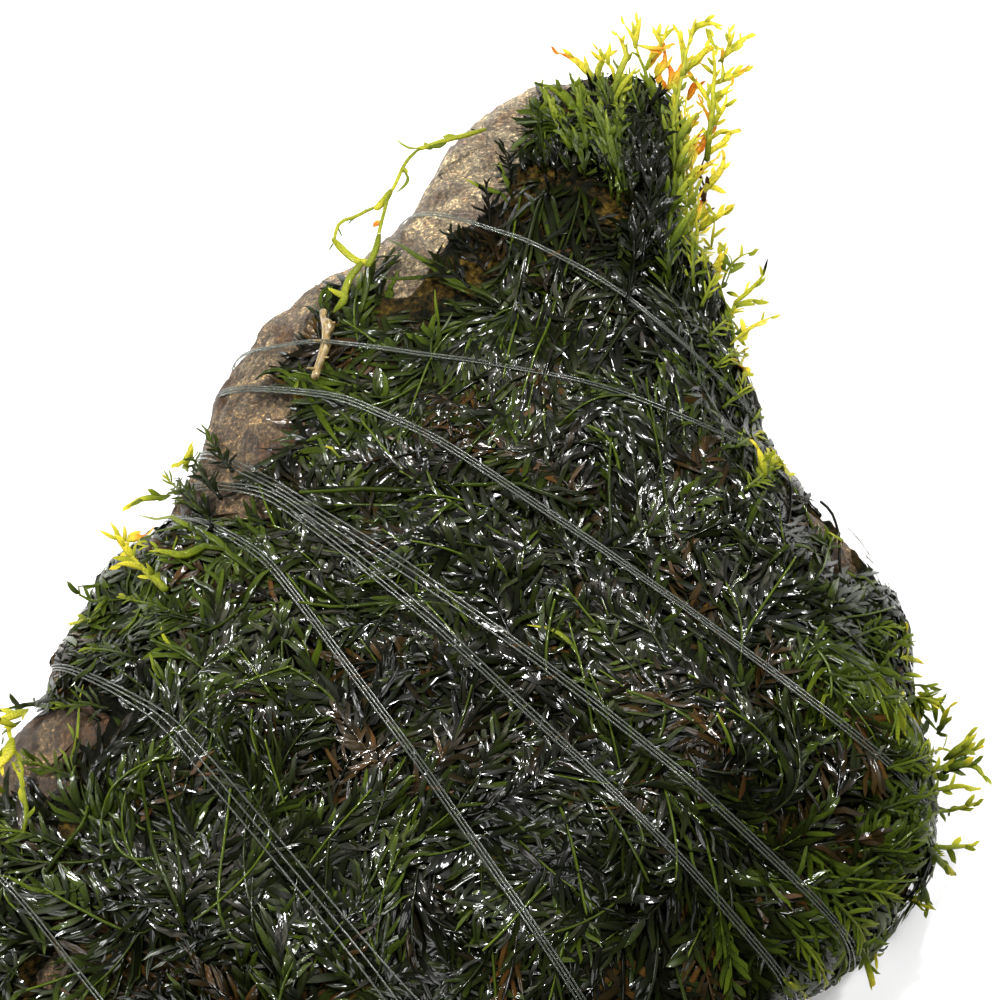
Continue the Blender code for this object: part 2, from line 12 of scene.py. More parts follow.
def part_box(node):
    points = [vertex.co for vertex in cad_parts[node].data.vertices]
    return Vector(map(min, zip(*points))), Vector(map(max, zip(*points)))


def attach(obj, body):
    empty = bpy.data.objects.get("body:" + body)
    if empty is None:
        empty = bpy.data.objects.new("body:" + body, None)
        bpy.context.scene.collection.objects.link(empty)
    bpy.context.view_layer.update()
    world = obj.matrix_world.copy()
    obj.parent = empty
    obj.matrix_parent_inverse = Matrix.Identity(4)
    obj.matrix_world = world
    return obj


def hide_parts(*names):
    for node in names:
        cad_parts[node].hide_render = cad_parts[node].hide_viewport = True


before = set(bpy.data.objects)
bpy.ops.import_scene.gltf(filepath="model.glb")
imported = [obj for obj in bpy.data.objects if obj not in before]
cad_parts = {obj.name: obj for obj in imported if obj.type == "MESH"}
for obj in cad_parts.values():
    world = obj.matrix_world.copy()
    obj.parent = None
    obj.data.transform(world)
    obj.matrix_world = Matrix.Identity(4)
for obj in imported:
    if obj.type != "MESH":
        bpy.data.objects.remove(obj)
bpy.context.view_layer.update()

mm = 0.001
planShift = np.array([1.508, -16.471, 0.0])
seed = 7  # of the waves in every surface

camera = {
    "elevation": 64.0,  # degrees above the ground, looking along +Y
    "distance": 305.6,
    "lens": 100.0,  # mm
    "sensor": 36.0,  # mm wide
    "aim": (5.5, 18.4, 20.0),
    "picture": 1000,  # pixels a side of the photograph's frame
}

stoneShape = {
    "outline": [
        (51, -7), (49, 2), (49, 9), (48, 14), (45, 20), (39, 25), (34, 31), (32, 37), (31, 45),
        (29, 52), (27, 59), (26, 66), (28, 75), (25, 80), (16, 81), (9, 81), (3, 75), (-2, 69),
        (-4, 62), (-10, 57), (-17, 52), (-22, 45), (-27, 36), (-30, 28), (-35, 17), (-37, 8),
        (-42, -1), (-51, -9), (-56, -21), (-54, -33), (-46, -41), (-30, -45), (-10, -47),
        (12, -45), (25, -41), (34, -34), (46, -27), (52, -17),
    ],
    "cornerSpread": (-1.5, -0.75, 0.0, 0.75, 1.5),  # degrees the outline is averaged over
    "waist": 6.5,  # height of the widest level
    "topRise": 17.5,
    "underDrop": 5.5,
    "archHeight": 1.6,
    "archRelief": 0.5,
    "power": 3.0,  # of the superellipse section
    "fanFlatness": 0.4,  # latitudes are measured on a fan of rays this much lower than wide
    "thinning": 0.5,
    "thinningReach": 80.0,
    "farthest": 82.0,  # mm from the middle to the tip
    "facets": 7,
    "facetDepth": 0.65,
    "facetLengths": (17.0, 46.0),
    "feet": [(13, 64, 6.0, 10.0), (35, 8, 5.5, 8.0), (-41, -14, 5.5, 7.5), (22.5, -35, 5.0, 7.2)],
    "footTuck": 8.0,
    "grid": 218,  # cells across each disc of the mesh
    "chips": (0.16, (3.0, 8.0), 18),  # depth, wave lengths and count of small worn flats
    "grooves": (0.16, (0.7, 1.9), 12),  # striations that run down the rim
    "grooveRim": (50.0, 75.0),  # degrees of latitude over which they fade out
}

matShape = {
    "edge": [
        (0, 0), (9, 2), (15, 14), (27, 20), (33, 8), (38, 0), (60, 0), (70, 1), (76, 3), (81, 16),
        (84, 30), (88, 36), (94, 38), (102, 34), (108, 34), (114, 39), (118, 46), (124, 52),
        (132, 56), (142, 54), (150, 44), (155, 24), (160, 2), (168, 0), (178, 6), (184, 30),
        (190, 42), (198, 40), (203, 20), (208, 4), (226, 2), (250, 1), (300, 0), (345, 0),
    ],
    "scallop": 2.5,
    "scallops": 23,
    "thickness": 2.5,
    "edgeThickness": 1.0,
    "ramp": 24.0,
    "tufts": 8,
    "tuftDepth": 0.75,
    "tuftLengths": (9.0, 17.0),
}


def smoothWaves(points, depth, lengths, count, seedHere):
    # Sum of crossing sines: depth * sum(sin(2 pi p.d / length + phase)) / sqrt(count / 2).
    random = np.random.default_rng(seedHere)
    total = np.zeros(points.shape[:-1])
    for _ in range(count):
        direction = random.normal(size=3)
        direction /= np.linalg.norm(direction)
        length = random.uniform(*lengths)
        total += np.sin(points @ direction * 2 * math.pi / length + random.uniform(0, 6.3))
    return depth * total / math.sqrt(count / 2)


def facetWaves(points, depth, lengths, count, seedHere):
    # Sum of crossing zigzags, whose straight flanks meet in worn edges.
    random = np.random.default_rng(seedHere)
    total = np.zeros(points.shape[:-1])
    for _ in range(count):
        direction = random.normal(size=3)
        direction /= np.linalg.norm(direction)
        length = random.uniform(*lengths)
        phase = points @ direction / length + random.uniform(0, 1)
        total += 4 * np.abs(phase - np.floor(phase + 0.5)) - 1
    return depth * total / math.sqrt(count / 3)


def unit(vectors):
    # Vectors / their lengths.
    return vectors / np.maximum(np.linalg.norm(vectors, axis=-1, keepdims=True), 1e-9)


def dot(first, second):
    # Sum of products along the last axis, which stays as an axis of one.
    return (first * second).sum(-1, keepdims=True)


def smoothStep(value):
    # 3 v^2 - 2 v^3, with the value held between 0 and 1.
    value = np.clip(value, 0, 1)
    return value * value * (3 - 2 * value)


def outlineRadius(azimuth):
    # Distance from the middle to the outline on this ray, averaged over a few degrees.
    outline = np.array(stoneShape["outline"], float)
    angles = np.arctan2(outline[:, 1], outline[:, 0])
    radii = np.hypot(outline[:, 0], outline[:, 1])
    order = np.argsort(angles)
    around = np.asarray(azimuth)[..., None] + np.radians(stoneShape["cornerSpread"])
    return np.interp(around, angles[order], radii[order], period=2 * math.pi).mean(-1)


def slab(azimuth, latitude):
    # Superellipse slab: the ray (cos lat, 0.4 sin lat) is scaled until
    # (reach / radius)^3 + (height / rise)^3 = 1, and the normal is that sum's gradient.
    azimuth, latitude = np.broadcast_arrays(azimuth, latitude)
    power = stoneShape["power"]
    out = np.cos(latitude)
    up = np.sin(latitude) * stoneShape["fanFlatness"]
    rise = np.where(up > 0, stoneShape["topRise"], stoneShape["underDrop"])
    radius = outlineRadius(azimuth)
    level = ((out / radius) ** power + (np.abs(up) / rise) ** power) ** (1 / power)
    out, up = out / level, up / level
    point = np.stack([np.cos(azimuth) * out, np.sin(azimuth) * out, up], -1)
    steepOut = (out / radius) ** (power - 1) / radius
    steepUp = np.sign(up) * (np.abs(up) / rise) ** (power - 1) / rise
    normal = np.stack([np.cos(azimuth) * steepOut, np.sin(azimuth) * steepOut, steepUp], -1)
    return point, unit(normal)


def stoneSurface(azimuth, latitude):
    # Slab + normal * zigzag relief, thinned towards its ends, with an arched underside and feet.
    azimuth, latitude = np.broadcast_arrays(azimuth, latitude)
    base, normal = slab(azimuth, latitude)
    shape = stoneShape
    relief = facetWaves(base, shape["facetDepth"], shape["facetLengths"], shape["facets"], seed)
    point = base + normal * relief[..., None]
    reach = np.hypot(point[..., 0], point[..., 1])
    thin = 1 - shape["thinning"] * (reach / shape["thinningReach"]) ** 2
    point[..., 2] *= np.where(point[..., 2] > 0, thin, 1)
    point[..., 2] += shape["waist"]
    arch = shape["archHeight"] + shape["archRelief"] * relief / shape["facetDepth"]
    point[..., 2] = np.where(latitude < 0, np.maximum(point[..., 2], arch), point[..., 2])
    for x, y, flat, blend in shape["feet"]:
        away = np.hypot(point[..., 0] - x, point[..., 1] - y)
        share = smoothStep((blend - away) / (blend - flat))
        share = share * np.clip(-latitude / math.radians(shape["footTuck"]), 0, 1)
        point[..., 2] *= 1 - share
    return point, normal


def matEdge(azimuth):
    # Latitude at which the moss ends, with a scallop for each tuft.
    degrees, latitudes = np.array(matShape["edge"], float).T
    edge = np.interp(np.degrees(azimuth), degrees, latitudes, period=360)
    wave = np.sin(np.asarray(azimuth) * matShape["scallops"])
    return np.radians(edge + matShape["scallop"] * wave)


def matThickness(azimuth, latitude, base):
    # Thin edge + rise * (full - thin + tufts), where rise runs up the ramp above the edge.
    rise = np.clip((latitude - matEdge(azimuth)) / math.radians(matShape["ramp"]), 0, 1)
    thin, full = matShape["edgeThickness"], matShape["thickness"]
    lumps = smoothWaves(
        base, matShape["tuftDepth"], matShape["tuftLengths"], matShape["tufts"], seed + 1
    )
    return thin + (full - thin) * rise + rise * lumps


def matSurface(azimuth, latitude):
    # Stone + normal * thickness of the moss.
    azimuth, latitude = np.broadcast_arrays(azimuth, latitude)
    point, normal = stoneSurface(azimuth, latitude)
    return point + normal * matThickness(azimuth, latitude, point)[..., None], normal


def fanOf(points):
    # Azimuth and latitude of the ray of the fan that passes through each point.
    reach = np.hypot(points[..., 0], points[..., 1])
    up = points[..., 2] - stoneShape["waist"]
    thin = 1 - stoneShape["thinning"] * (
        np.minimum(reach, stoneShape["farthest"]) / stoneShape["thinningReach"]) ** 2
    up = np.where(up > 0, up / thin, up)
    azimuth = np.arctan2(points[..., 1], points[..., 0])
    return azimuth, np.arctan2(up / stoneShape["fanFlatness"], reach)


def drape(points, height=0.0, rounds=4):
    # Moves each point along the moss's normal on to its surface, plus height: the ray is
    # corrected by what it misses sideways until the surface point stands under the given one.
    aim = np.array(points, float)
    for _ in range(rounds):
        found, normal = matSurface(*fanOf(aim))
        miss = points - found
        aim = aim + miss - normal * dot(miss, normal)
    found, normal = matSurface(*fanOf(aim))
    return found + normal * np.asarray(height)[..., None], normal


def lieOf(points):
    # True outward direction of the moss near points: the cross product of two short steps on it.
    azimuth, latitude = fanOf(points)
    step = 0.012  # radians, about 0.6 mm
    east = matSurface(azimuth + step, latitude)[0] - matSurface(azimuth - step, latitude)[0]
    north = matSurface(azimuth, latitude + step)[0] - matSurface(azimuth, latitude - step)[0]
    slope = unit(np.cross(east, north))
    _, normal = matSurface(azimuth, latitude)
    nearPole = smoothStep((np.degrees(latitude) - 80) / 5)[..., None]
    return unit(slope * (1 - nearPole) + normal * nearPole)


# The camera's own directions, to place a piece by a pixel of the photograph.
tilt = math.radians(camera["elevation"])
lookAlong = np.array([0.0, math.cos(tilt), -math.sin(tilt)])
lookUp = np.array([0.0, math.sin(tilt), math.cos(tilt)])
lookRight = np.array([1.0, 0.0, 0.0])
eye = np.array(camera["aim"]) - lookAlong * camera["distance"]
focal = camera["lens"] / camera["sensor"] * camera["picture"]  # pixels


def pixelOf(points):
    # Where points show in the photograph: half a picture + focal * sideways / depth.
    away = np.asarray(points, float) - eye
    depth = away @ lookAlong
    half = camera["picture"] / 2
    return np.stack([half + focal * (away @ lookRight) / depth,
                     half - focal * (away @ lookUp) / depth], -1)


def atPixel(pixels, height):
    # The point of each pixel's ray that stands at this height above the ground.
    half = camera["picture"] / 2
    pixels = np.asarray(pixels, float)
    ray = (lookAlong + lookRight * ((pixels[..., :1] - half) / focal)
           + lookUp * ((half - pixels[..., 1:2]) / focal))
    return eye + ray * ((np.asarray(height)[..., None] - eye[2]) / ray[..., 2:3])


def onMoss(pixels, lift):
    # Where each pixel's ray meets the moss: the ray is cut at the height found there, again and again.
    pixels = np.asarray(pixels, float)
    points = atPixel(pixels, 22.0)  # mm, about the top of the moss
    for _ in range(6):
        points, _ = drape(points)
        points = atPixel(pixels, points[:, 2])
    return drape(points, lift)


def linearOf(text):
    # sRGB hex to the linear colour that a shader wants.
    values = [int(text[n:n + 2], 16) / 255 for n in (1, 3, 5)]
    return (*(v / 12.92 if v <= 0.04045 else ((v + 0.055) / 1.055) ** 2.4 for v in values), 1.0)


def newMaterial(name):
    # A material with its tree and its shader.
    material = bpy.data.materials.new(name)
    material.use_nodes = True
    return material, material.node_tree, material.node_tree.nodes["Principled BSDF"]


def feed(tree, node, inputs):
    # Gives each named input of a node its value, or links it to the output that is given for it.
    for name, value in inputs.items():
        if isinstance(value, bpy.types.NodeSocket):
            tree.links.new(value, node.inputs[name])
        else:
            node.inputs[name].default_value = value


def addNode(tree, kind, inputs=None, **settings):
    # Adds a node with its settings and feeds its inputs.
    node = tree.nodes.new(kind)
    for name, value in settings.items():
        setattr(node, name, value)
    feed(tree, node, inputs or {})
    return node


def setRamp(node, stops):
    # Stops are places and sRGB hex colours.
    ramp = node.color_ramp
    while len(ramp.elements) < len(stops):
        ramp.elements.new(0.5)
    for element, (place, colour) in zip(ramp.elements, stops):
        element.position = place
        element.color = linearOf(colour)
    return node


def addPiece(name, arrays, material, slotName, *nodes):
    # One mesh object at the origin from arrays of points in plan millimetres and of faces, and
    # of the points' places in the map and kinds of edge if it has them.
    points, faces, uv, kinds = (*arrays, None, None)[:4]
    mesh = bpy.data.meshes.new(name)
    corners = faces.shape[1]
    mesh.vertices.add(len(points))
    mesh.vertices.foreach_set("co", ((points + planShift) * mm).astype(np.float32).ravel())
    mesh.loops.add(faces.size)
    mesh.loops.foreach_set("vertex_index", faces.astype(np.int32).ravel())
    mesh.polygons.add(len(faces))
    mesh.polygons.foreach_set("loop_start", np.arange(0, faces.size, corners, dtype=np.int32))
    mesh.polygons.foreach_set("use_smooth", np.ones(len(faces), bool))
    mesh.update(calc_edges=True)
    if uv is not None:
        layer = mesh.uv_layers.new(name="OFBake")
        layer.uv.foreach_set("vector", uv[faces.ravel()].astype(np.float32).ravel())
    if kinds is not None:
        ends = np.empty(len(mesh.edges) * 2, np.int32)
        mesh.edges.foreach_get("vertices", ends)
        first, second = kinds[ends.reshape(-1, 2)].T
        mesh.attributes.new("sharp_edge", "BOOLEAN", "EDGE").data.foreach_set(
            "value", (first & second) > 0
        )
    mesh.validate()
    piece = bpy.data.objects.new(name, mesh)
    bpy.context.scene.collection.objects.link(piece)
    mesh.materials.append(material)
    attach(piece, "root")
    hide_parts(*nodes)
    print(f"{name}: {len(faces) * (corners - 2)} triangles")


# The stone.


def discGrid(cells):
    # A square of square rings squeezed to a disc: ring = max(|a|, |b|) and the turn runs evenly
    # along each ring, so that the middle has no pole.
    side = np.linspace(-1, 1, cells + 1)
    a, b = np.meshgrid(side, side, indexing="ij")
    wide = np.abs(a) >= np.abs(b)
    long = np.where(wide, a, b)
    short = np.where(wide, b, a)
    quarter = math.pi / 4 * short / np.where(long == 0, 1, long)
    azimuth = np.where(wide, quarter, math.pi / 2 - quarter) + np.where(long < 0, math.pi, 0)
    return azimuth, np.abs(long)


def closedDiscs(cells, over, under):
    # Two discs of points that share their outer ring, as one closed mesh of quads.
    count = cells + 1
    index = np.arange(count * count).reshape(count, count)
    upper = np.stack([index[:-1, :-1], index[1:, :-1], index[1:, 1:], index[:-1, 1:]], -1)
    inside = np.zeros((count, count), bool)
    inside[1:-1, 1:-1] = True
    below = index.copy()
    below[inside] = count * count + np.arange(inside.sum())
    lower = np.stack([below[:-1, :-1], below[:-1, 1:], below[1:, 1:], below[1:, :-1]], -1)
    points = np.concatenate([over.reshape(-1, 3), under[inside]])
    return points, np.concatenate([upper.reshape(-1, 4), lower.reshape(-1, 4)])


def rockDetail(azimuth, latitude):
    # The stone's surface with small chipped flats, and grooves that run down the rim.
    point, normal = stoneSurface(azimuth, latitude)
    relief = facetWaves(point, *stoneShape["chips"], seed + 5)
    depth, lengths, count = stoneShape["grooves"]
    along = point * np.array([1.0, 0.35, 0.12])
    grooves = -np.abs(smoothWaves(along, 1.0, lengths, count, seed + 6)) * depth
    low, high = stoneShape["grooveRim"]
    relief = relief + grooves * (1 - smoothStep((np.degrees(latitude) - low) / (high - low)))
    relief = relief * smoothStep(point[..., 2] / 1.5)  # the feet stay flat
    return point + normal * relief[..., None]


azimuth, ring = discGrid(stoneShape["grid"])
pole = math.pi / 2
stonePoints, stoneFaces = closedDiscs(
    stoneShape["grid"], rockDetail(azimuth, pole * (1 - ring)), rockDetail(azimuth, pole * (ring - 1))
)
box = np.array(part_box("stone")) / mm
made = stonePoints + planShift
print("stone against its node", np.round(made.min(0) - box[0], 2), np.round(made.max(0) - box[1], 2))

# Wet river stone: grey-brown, finely speckled, browner where iron has stained it, with pale
# mineral streaks down the rim and a thin film of water that gives broken highlights.
wetRock, tree, shader = newMaterial("wet river stone")
place = addNode(tree, "ShaderNodeTexCoord").outputs["Object"]
clouds = addNode(tree, "ShaderNodeTexNoise", {
    "Vector": place, "Scale": 75.0, "Detail": 8.0, "Roughness": 0.68, "Distortion": 0.4})
ground = setRamp(addNode(tree, "ShaderNodeValToRGB", {"Fac": clouds.outputs["Fac"]}), [
    (0.30, "#453a30"), (0.42, "#7f6446"), (0.49, "#968a76"), (0.56, "#c4b99c"), (0.66, "#85776f")])
specks = addNode(tree, "ShaderNodeTexNoise", {
    "Vector": place, "Scale": 2400.0, "Detail": 5.0, "Roughness": 0.8})  # 0.4 mm grains
speckTone = setRamp(addNode(tree, "ShaderNodeValToRGB", {"Fac": specks.outputs["Fac"]}), [
    (0.36, "#1c1815"), (0.46, "#6d6660"), (0.56, "#9f988c"), (0.64, "#f4efe4")])
speckled = addNode(tree, "ShaderNodeMix", {
    "Factor": 0.9, 6: ground.outputs["Color"], 7: speckTone.outputs["Color"]},
    data_type="RGBA", blend_type="OVERLAY")
# Striations run down the rim, bent by the clouds, with dark cracks between them.
bent = addNode(tree, "ShaderNodeMix", {
    "Factor": 0.012, 4: place, 5: clouds.outputs["Color"]}, data_type="VECTOR")
streaked = addNode(tree, "ShaderNodeMapping", {
    "Vector": bent.outputs[1], "Rotation": (0.0, 0.0, 0.6), "Scale": (1.0, 0.3, 0.25)})
streaks = addNode(tree, "ShaderNodeTexNoise", {
    "Vector": streaked.outputs["Vector"], "Scale": 1300.0, "Detail": 6.0, "Roughness": 0.75})
streakTone = setRamp(addNode(tree, "ShaderNodeValToRGB", {"Fac": streaks.outputs["Fac"]}), [
    (0.36, "#2c2622"), (0.48, "#7c7a76"), (0.56, "#8e8c86"), (0.66, "#e8e1d2")])
rockColour = addNode(tree, "ShaderNodeMix", {
    "Factor": 0.9, 6: speckled.outputs[2], 7: streakTone.outputs["Color"]},
    data_type="RGBA", blend_type="OVERLAY")
# It is paler and greyer towards its narrow end.
placeParts = addNode(tree, "ShaderNodeSeparateXYZ", {"Vector": place})
paling = addNode(tree, "ShaderNodeMapRange", {
    "Value": placeParts.outputs["Y"], "From Min": 0.01, "From Max": 0.055, "To Min": 0.0, "To Max": 1.0})
tint = addNode(tree, "ShaderNodeMix", {
    "Factor": paling.outputs["Result"], 6: (1.38, 1.22, 1.04, 1.0), 7: (3.3, 3.5, 3.7, 1.0)},
    data_type="RGBA")
paled = addNode(tree, "ShaderNodeMix", {
    "Factor": 1.0, 6: rockColour.outputs[2], 7: tint.outputs[2]},
    data_type="RGBA", blend_type="MULTIPLY")
wetness = addNode(tree, "ShaderNodeMapRange", {
    "Value": clouds.outputs["Fac"], "From Min": 0.35, "From Max": 0.65, "To Min": 0.3, "To Max": 0.65})
grain = addNode(tree, "ShaderNodeBump", {
    "Height": specks.outputs["Fac"], "Strength": 1.0, "Distance": 0.0008})
striae = addNode(tree, "ShaderNodeBump", {
    "Height": streaks.outputs["Fac"], "Strength": 1.0, "Distance": 0.003,
    "Normal": grain.outputs["Normal"]})
feed(tree, shader, {
    "Base Color": paled.outputs[2], "Roughness": wetness.outputs["Result"],
    "Normal": striae.outputs["Normal"], "Coat Normal": striae.outputs["Normal"],
    "Coat Weight": 0.35, "Coat Roughness": 0.12, "Coat IOR": 1.33})

addPiece("stone_body", (stonePoints, stoneFaces), wetRock, "wet_rock", "stone")

# The bed of old moss.

mossBed = {
    "grid": 150,
    "sink": 1.1,  # how far the old moss under the fronds lies below the mat's own height
    "least": 0.55,  # above the stone where the mat is thin
    "lumps": (0.16, (1.4, 3.2), 12),  # depth, wave lengths and count
    "bareSink": 0.9,  # how far it lies inside the stone in a bare patch
    "bareWaves": (0.35, (3.0, 7.0), 5),  # share of the radius, wave lengths and count
    # Bare patches inside the mat: pixel, radius in mm.
    "bare": [
        (150, 634, 2.6), (290, 655, 2.2), (60, 735, 4.5), (35, 965, 3.5), (832, 520, 4.6),
        (848, 560, 3.6), (250, 440, 5.0), (228, 505, 4.2), (280, 415, 3.0), (60, 775, 3.0),
        (345, 300, 2.0), (370, 345, 1.6), (420, 240, 3.6), (925, 715, 2.4), (905, 890, 3.0),
        (930, 850, 2.4),
    ],
}
bareRows = np.array(mossBed["bare"])
bareSpots, _ = onMoss(bareRows[:, :2], 0.0)
bareSizes = bareRows[:, 2]


def bareness(points):
    # 1 inside a bare patch, falling to 0 at its wavy edge.
    away = np.linalg.norm(points[..., None, :] - bareSpots, axis=-1)
    share, lengths, count = mossBed["bareWaves"]
    wave = 1 + share * smoothWaves(points, 1.0, lengths, count, seed + 9)[..., None]
    return smoothStep(2.0 - 2.0 * away / (bareSizes * wave)).max(-1)


def bedPoint(azimuth, latitude):
    # Stone + normal * (thickness - sink + lumps), never nearer than the least, except in bare
    # patches, where it goes under the stone.
    point, normal = stoneSurface(azimuth, latitude)
    thick = matThickness(azimuth, latitude, point)
    over = matSurface(azimuth, latitude)[0]
    height = np.maximum(thick - mossBed["sink"], mossBed["least"])
    height = height + smoothWaves(point, *mossBed["lumps"], seed + 11)
    height = height * (1 - bareness(over)) - mossBed["bareSink"] * bareness(over)
    return point, normal, height


azimuth, ring = discGrid(mossBed["grid"])
edge = matEdge(azimuth)
latitude = edge + (pole - edge) * (1 - ring)
point, normal, height = bedPoint(azimuth, latitude)
# Its edge lies on the stone, and its lower side at least 0.5 mm inside it.
height = np.where(ring > 0.999, 0.05, height)
bed = closedDiscs(
    mossBed["grid"], point + normal * height[..., None],
    point + normal * np.minimum(height - 0.5, -0.5)[..., None],
)

# Old moss under the fronds: matted, soaked, near black to peat brown, and dull. The near black is partly
# its own soaked colour and partly painted shade, which keeps the gaps between the leaves dark.
oldMoss, tree, shader = newMaterial("soaked old moss")
place = addNode(tree, "ShaderNodeTexCoord").outputs["Object"]
fibres = addNode(tree, "ShaderNodeTexNoise", {
    "Vector": place, "Scale": 1100.0, "Detail": 4.0, "Roughness": 0.6})
patches = addNode(tree, "ShaderNodeTexNoise", {"Vector": place, "Scale": 160.0, "Detail": 3.0})
mixed = addNode(tree, "ShaderNodeMath", {
    0: fibres.outputs["Fac"], 1: patches.outputs["Fac"]}, operation="MULTIPLY")
bedToneAndShade = setRamp(addNode(tree, "ShaderNodeValToRGB", {"Fac": mixed.outputs[0]}), [
    (0.12, "#030402"), (0.22, "#0b0c05"), (0.31, "#2a200b"), (0.42, "#4d3d15")])
matted = addNode(tree, "ShaderNodeBump", {
    "Height": fibres.outputs["Fac"], "Strength": 0.8, "Distance": 0.0006})
feed(tree, shader, {
    "Base Color": bedToneAndShade.outputs["Color"], "Normal": matted.outputs["Normal"],
    "Roughness": 0.6, "Specular IOR Level": 0.03})

addPiece("moss_bed", bed, oldMoss, "wet_moss", "moss_mat")

# The course of the tie line, which the fronds are pressed under.


def ringCentres(node, reach):
    # Middle of each ring of a tube's solid, in plan mm: its corners are welded, one end ring is
    # the corners within reach of the one that is most edges away, and each next ring is the
    # unseen neighbours of the one before.
    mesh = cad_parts[node].data
    matrix = np.array(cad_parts[node].matrix_world)
    corners = np.array([tuple(vertex.co) for vertex in mesh.vertices])
    corners = (corners @ matrix[:3, :3].T + matrix[:3, 3]) / mm - planShift
    _, first, number = np.unique(
        np.round(corners, 3), axis=0, return_index=True, return_inverse=True)
    number = number.ravel()
    places = corners[first]
    neighbours = [set() for _ in places]
    for polygon in mesh.polygons:
        ends = [number[corner] for corner in polygon.vertices]
        for end in ends:
            neighbours[end].update(ends)

    def layers(start):
        seen, rings = set(start), [sorted(start)]
        while rings[-1]:
            rings.append(sorted(set().union(*(neighbours[n] for n in rings[-1])) - seen))
            seen.update(rings[-1])
        return rings[:-1]

    far = layers({0})[-1][0]
    end = np.flatnonzero(np.linalg.norm(places - places[far], axis=1) < reach)
    rings = layers(set(end.tolist()))
    sizes = {len(ring) for ring in rings}
    centres = np.array([places[ring].mean(0) for ring in rings])
    radii = np.array([np.linalg.norm(places[ring] - middle, axis=1).mean()
                      for ring, middle in zip(rings, centres)])
    print(f"{node}: {len(rings)} rings of {sizes} corners")
    return centres, radii


def evenly(points, count=None, step=1.0):
    # As many points evenly spaced along straight legs, or else one at about every step.
    run = np.concatenate([[0], np.cumsum(np.linalg.norm(np.diff(points, axis=0), axis=1))])
    even = np.linspace(0, run[-1], count or max(int(run[-1] / step), 2) + 1)
    return np.stack([np.interp(even, run, points[:, n]) for n in range(points.shape[1])], -1)


def averaged(values, width):
    # Running mean over 2 * width + 1 places, with the ends repeated.
    padded = np.concatenate([values[:1].repeat(width, 0), values, values[-1:].repeat(width, 0)])
    total = np.cumsum(np.concatenate([0 * padded[:1], padded]), axis=0)
    return (total[2 * width + 1:] - total[:-2 * width - 1]) / (2 * width + 1)


tieLine = {
    "step": 1.0,  # mm from ring to ring
    "sides": 8,
    "spacing": 0.36,  # mm between the strands of a group, which are drawn together
    "gatherReach": (3.6, 2.4),  # mm, one round of drawing each
    "ownReach": 8,  # places along the line within which a point is on the same strand
    "overStone": 0.24,  # least height over the bare stone
    "drawnOver": (7.0, 12.0),  # mm above the ground over which the strands come to be drawn
    "parallel": 0.96,  # least cosine between strands of one group
    "sink": -0.02,  # mm into the moss
    "sinkWaves": (0.08, (9.0, 26.0), 6),
    # Gap under the line, mm beside it over which the moss rises again, and by how much.
    "press": (0.14, 0.5, 1.9, 2.5),
}
centres, radii = ringCentres("tie_line", 0.24)
knotted = evenly(np.concatenate([centres, radii[:, None]], 1), step=tieLine["step"])
line = averaged(averaged(knotted[:, :3], 1), 1)
line = np.concatenate([knotted[:2, :3], line[2:-2], knotted[-2:, :3]])
low, high = tieLine["drawnOver"]
over = smoothStep((line[:, 2] - low) / (high - low))
# The strands of a group are drawn together: each place moves sideways towards the mean of the
# places within reach that run its way, less far the nearer its next strand already is.
for reach in tieLine["gatherReach"]:
    ways = unit(np.gradient(line, axis=0))
    cells = {}
    for number, cell in enumerate(map(tuple, np.floor(line / reach).astype(int))):
        cells.setdefault(cell, []).append(number)
    shifts = np.zeros_like(line)
    for cell, members in cells.items():
        around = [n for a in (-1, 0, 1) for b in (-1, 0, 1) for c in (-1, 0, 1)
                  for n in cells.get((cell[0] + a, cell[1] + b, cell[2] + c), ())]
        gaps = line[around][None] - line[members][:, None]
        sideways = gaps - ways[members][:, None] * dot(gaps, ways[members][:, None])
        near = np.linalg.norm(gaps, axis=-1) < reach
        near &= np.abs((ways[around][None] * ways[members][:, None]).sum(-1)) > tieLine["parallel"]
        other = near & (np.abs(np.subtract.outer(members, around)) > tieLine["ownReach"])
        apart = np.where(other, np.linalg.norm(sideways, axis=-1), 9.0).min(1)
        drawn = 1 - np.clip(tieLine["spacing"] / np.maximum(apart, 0.05), 0.15, 1)
        shifts[members] = (sideways * near[..., None]).sum(1) * (drawn / near.sum(1))[:, None]
    line = line + averaged(shifts * over[:, None], 6)
_, outward = drape(line)
outward = unit(averaged(averaged(outward, 8), 8))
sunk = (tieLine["sink"] + smoothWaves(line, *tieLine["sinkWaves"], seed + 31)) * over
line = line - outward * averaged(sunk, 3)[:, None]
line = np.concatenate([line[:3], averaged(line, 2)[3:-3], line[-3:]])
found, foundNormal = drape(line)
lineAzimuth, lineLatitude = fanOf(line)
mossy = smoothStep((lineLatitude - matEdge(lineAzimuth)) / math.radians(5))
least = tieLine["overStone"] - matShape["edgeThickness"] * (1 - 0.95 * mossy)
short = np.maximum(least - dot(line - found, foundNormal)[:, 0], 0)
line = line + foundNormal * (averaged(short, 2) * over)[:, None]
lineCourse, lineOut = line, outward
# The solid's own radii at the knots, and 0.1 mm between them.
lineRadii = np.concatenate([knotted[:4, 3], np.full(len(line) - 8, 0.1), knotted[-4:, 3]])
found, foundNormal = drape(lineCourse)
lineLies = dot(lineCourse - found, foundNormal)[:, 0]
lineTree = KDTree(len(lineCourse))
for number, point in enumerate(lineCourse):
    lineTree.insert(point, number)
lineTree.balance()


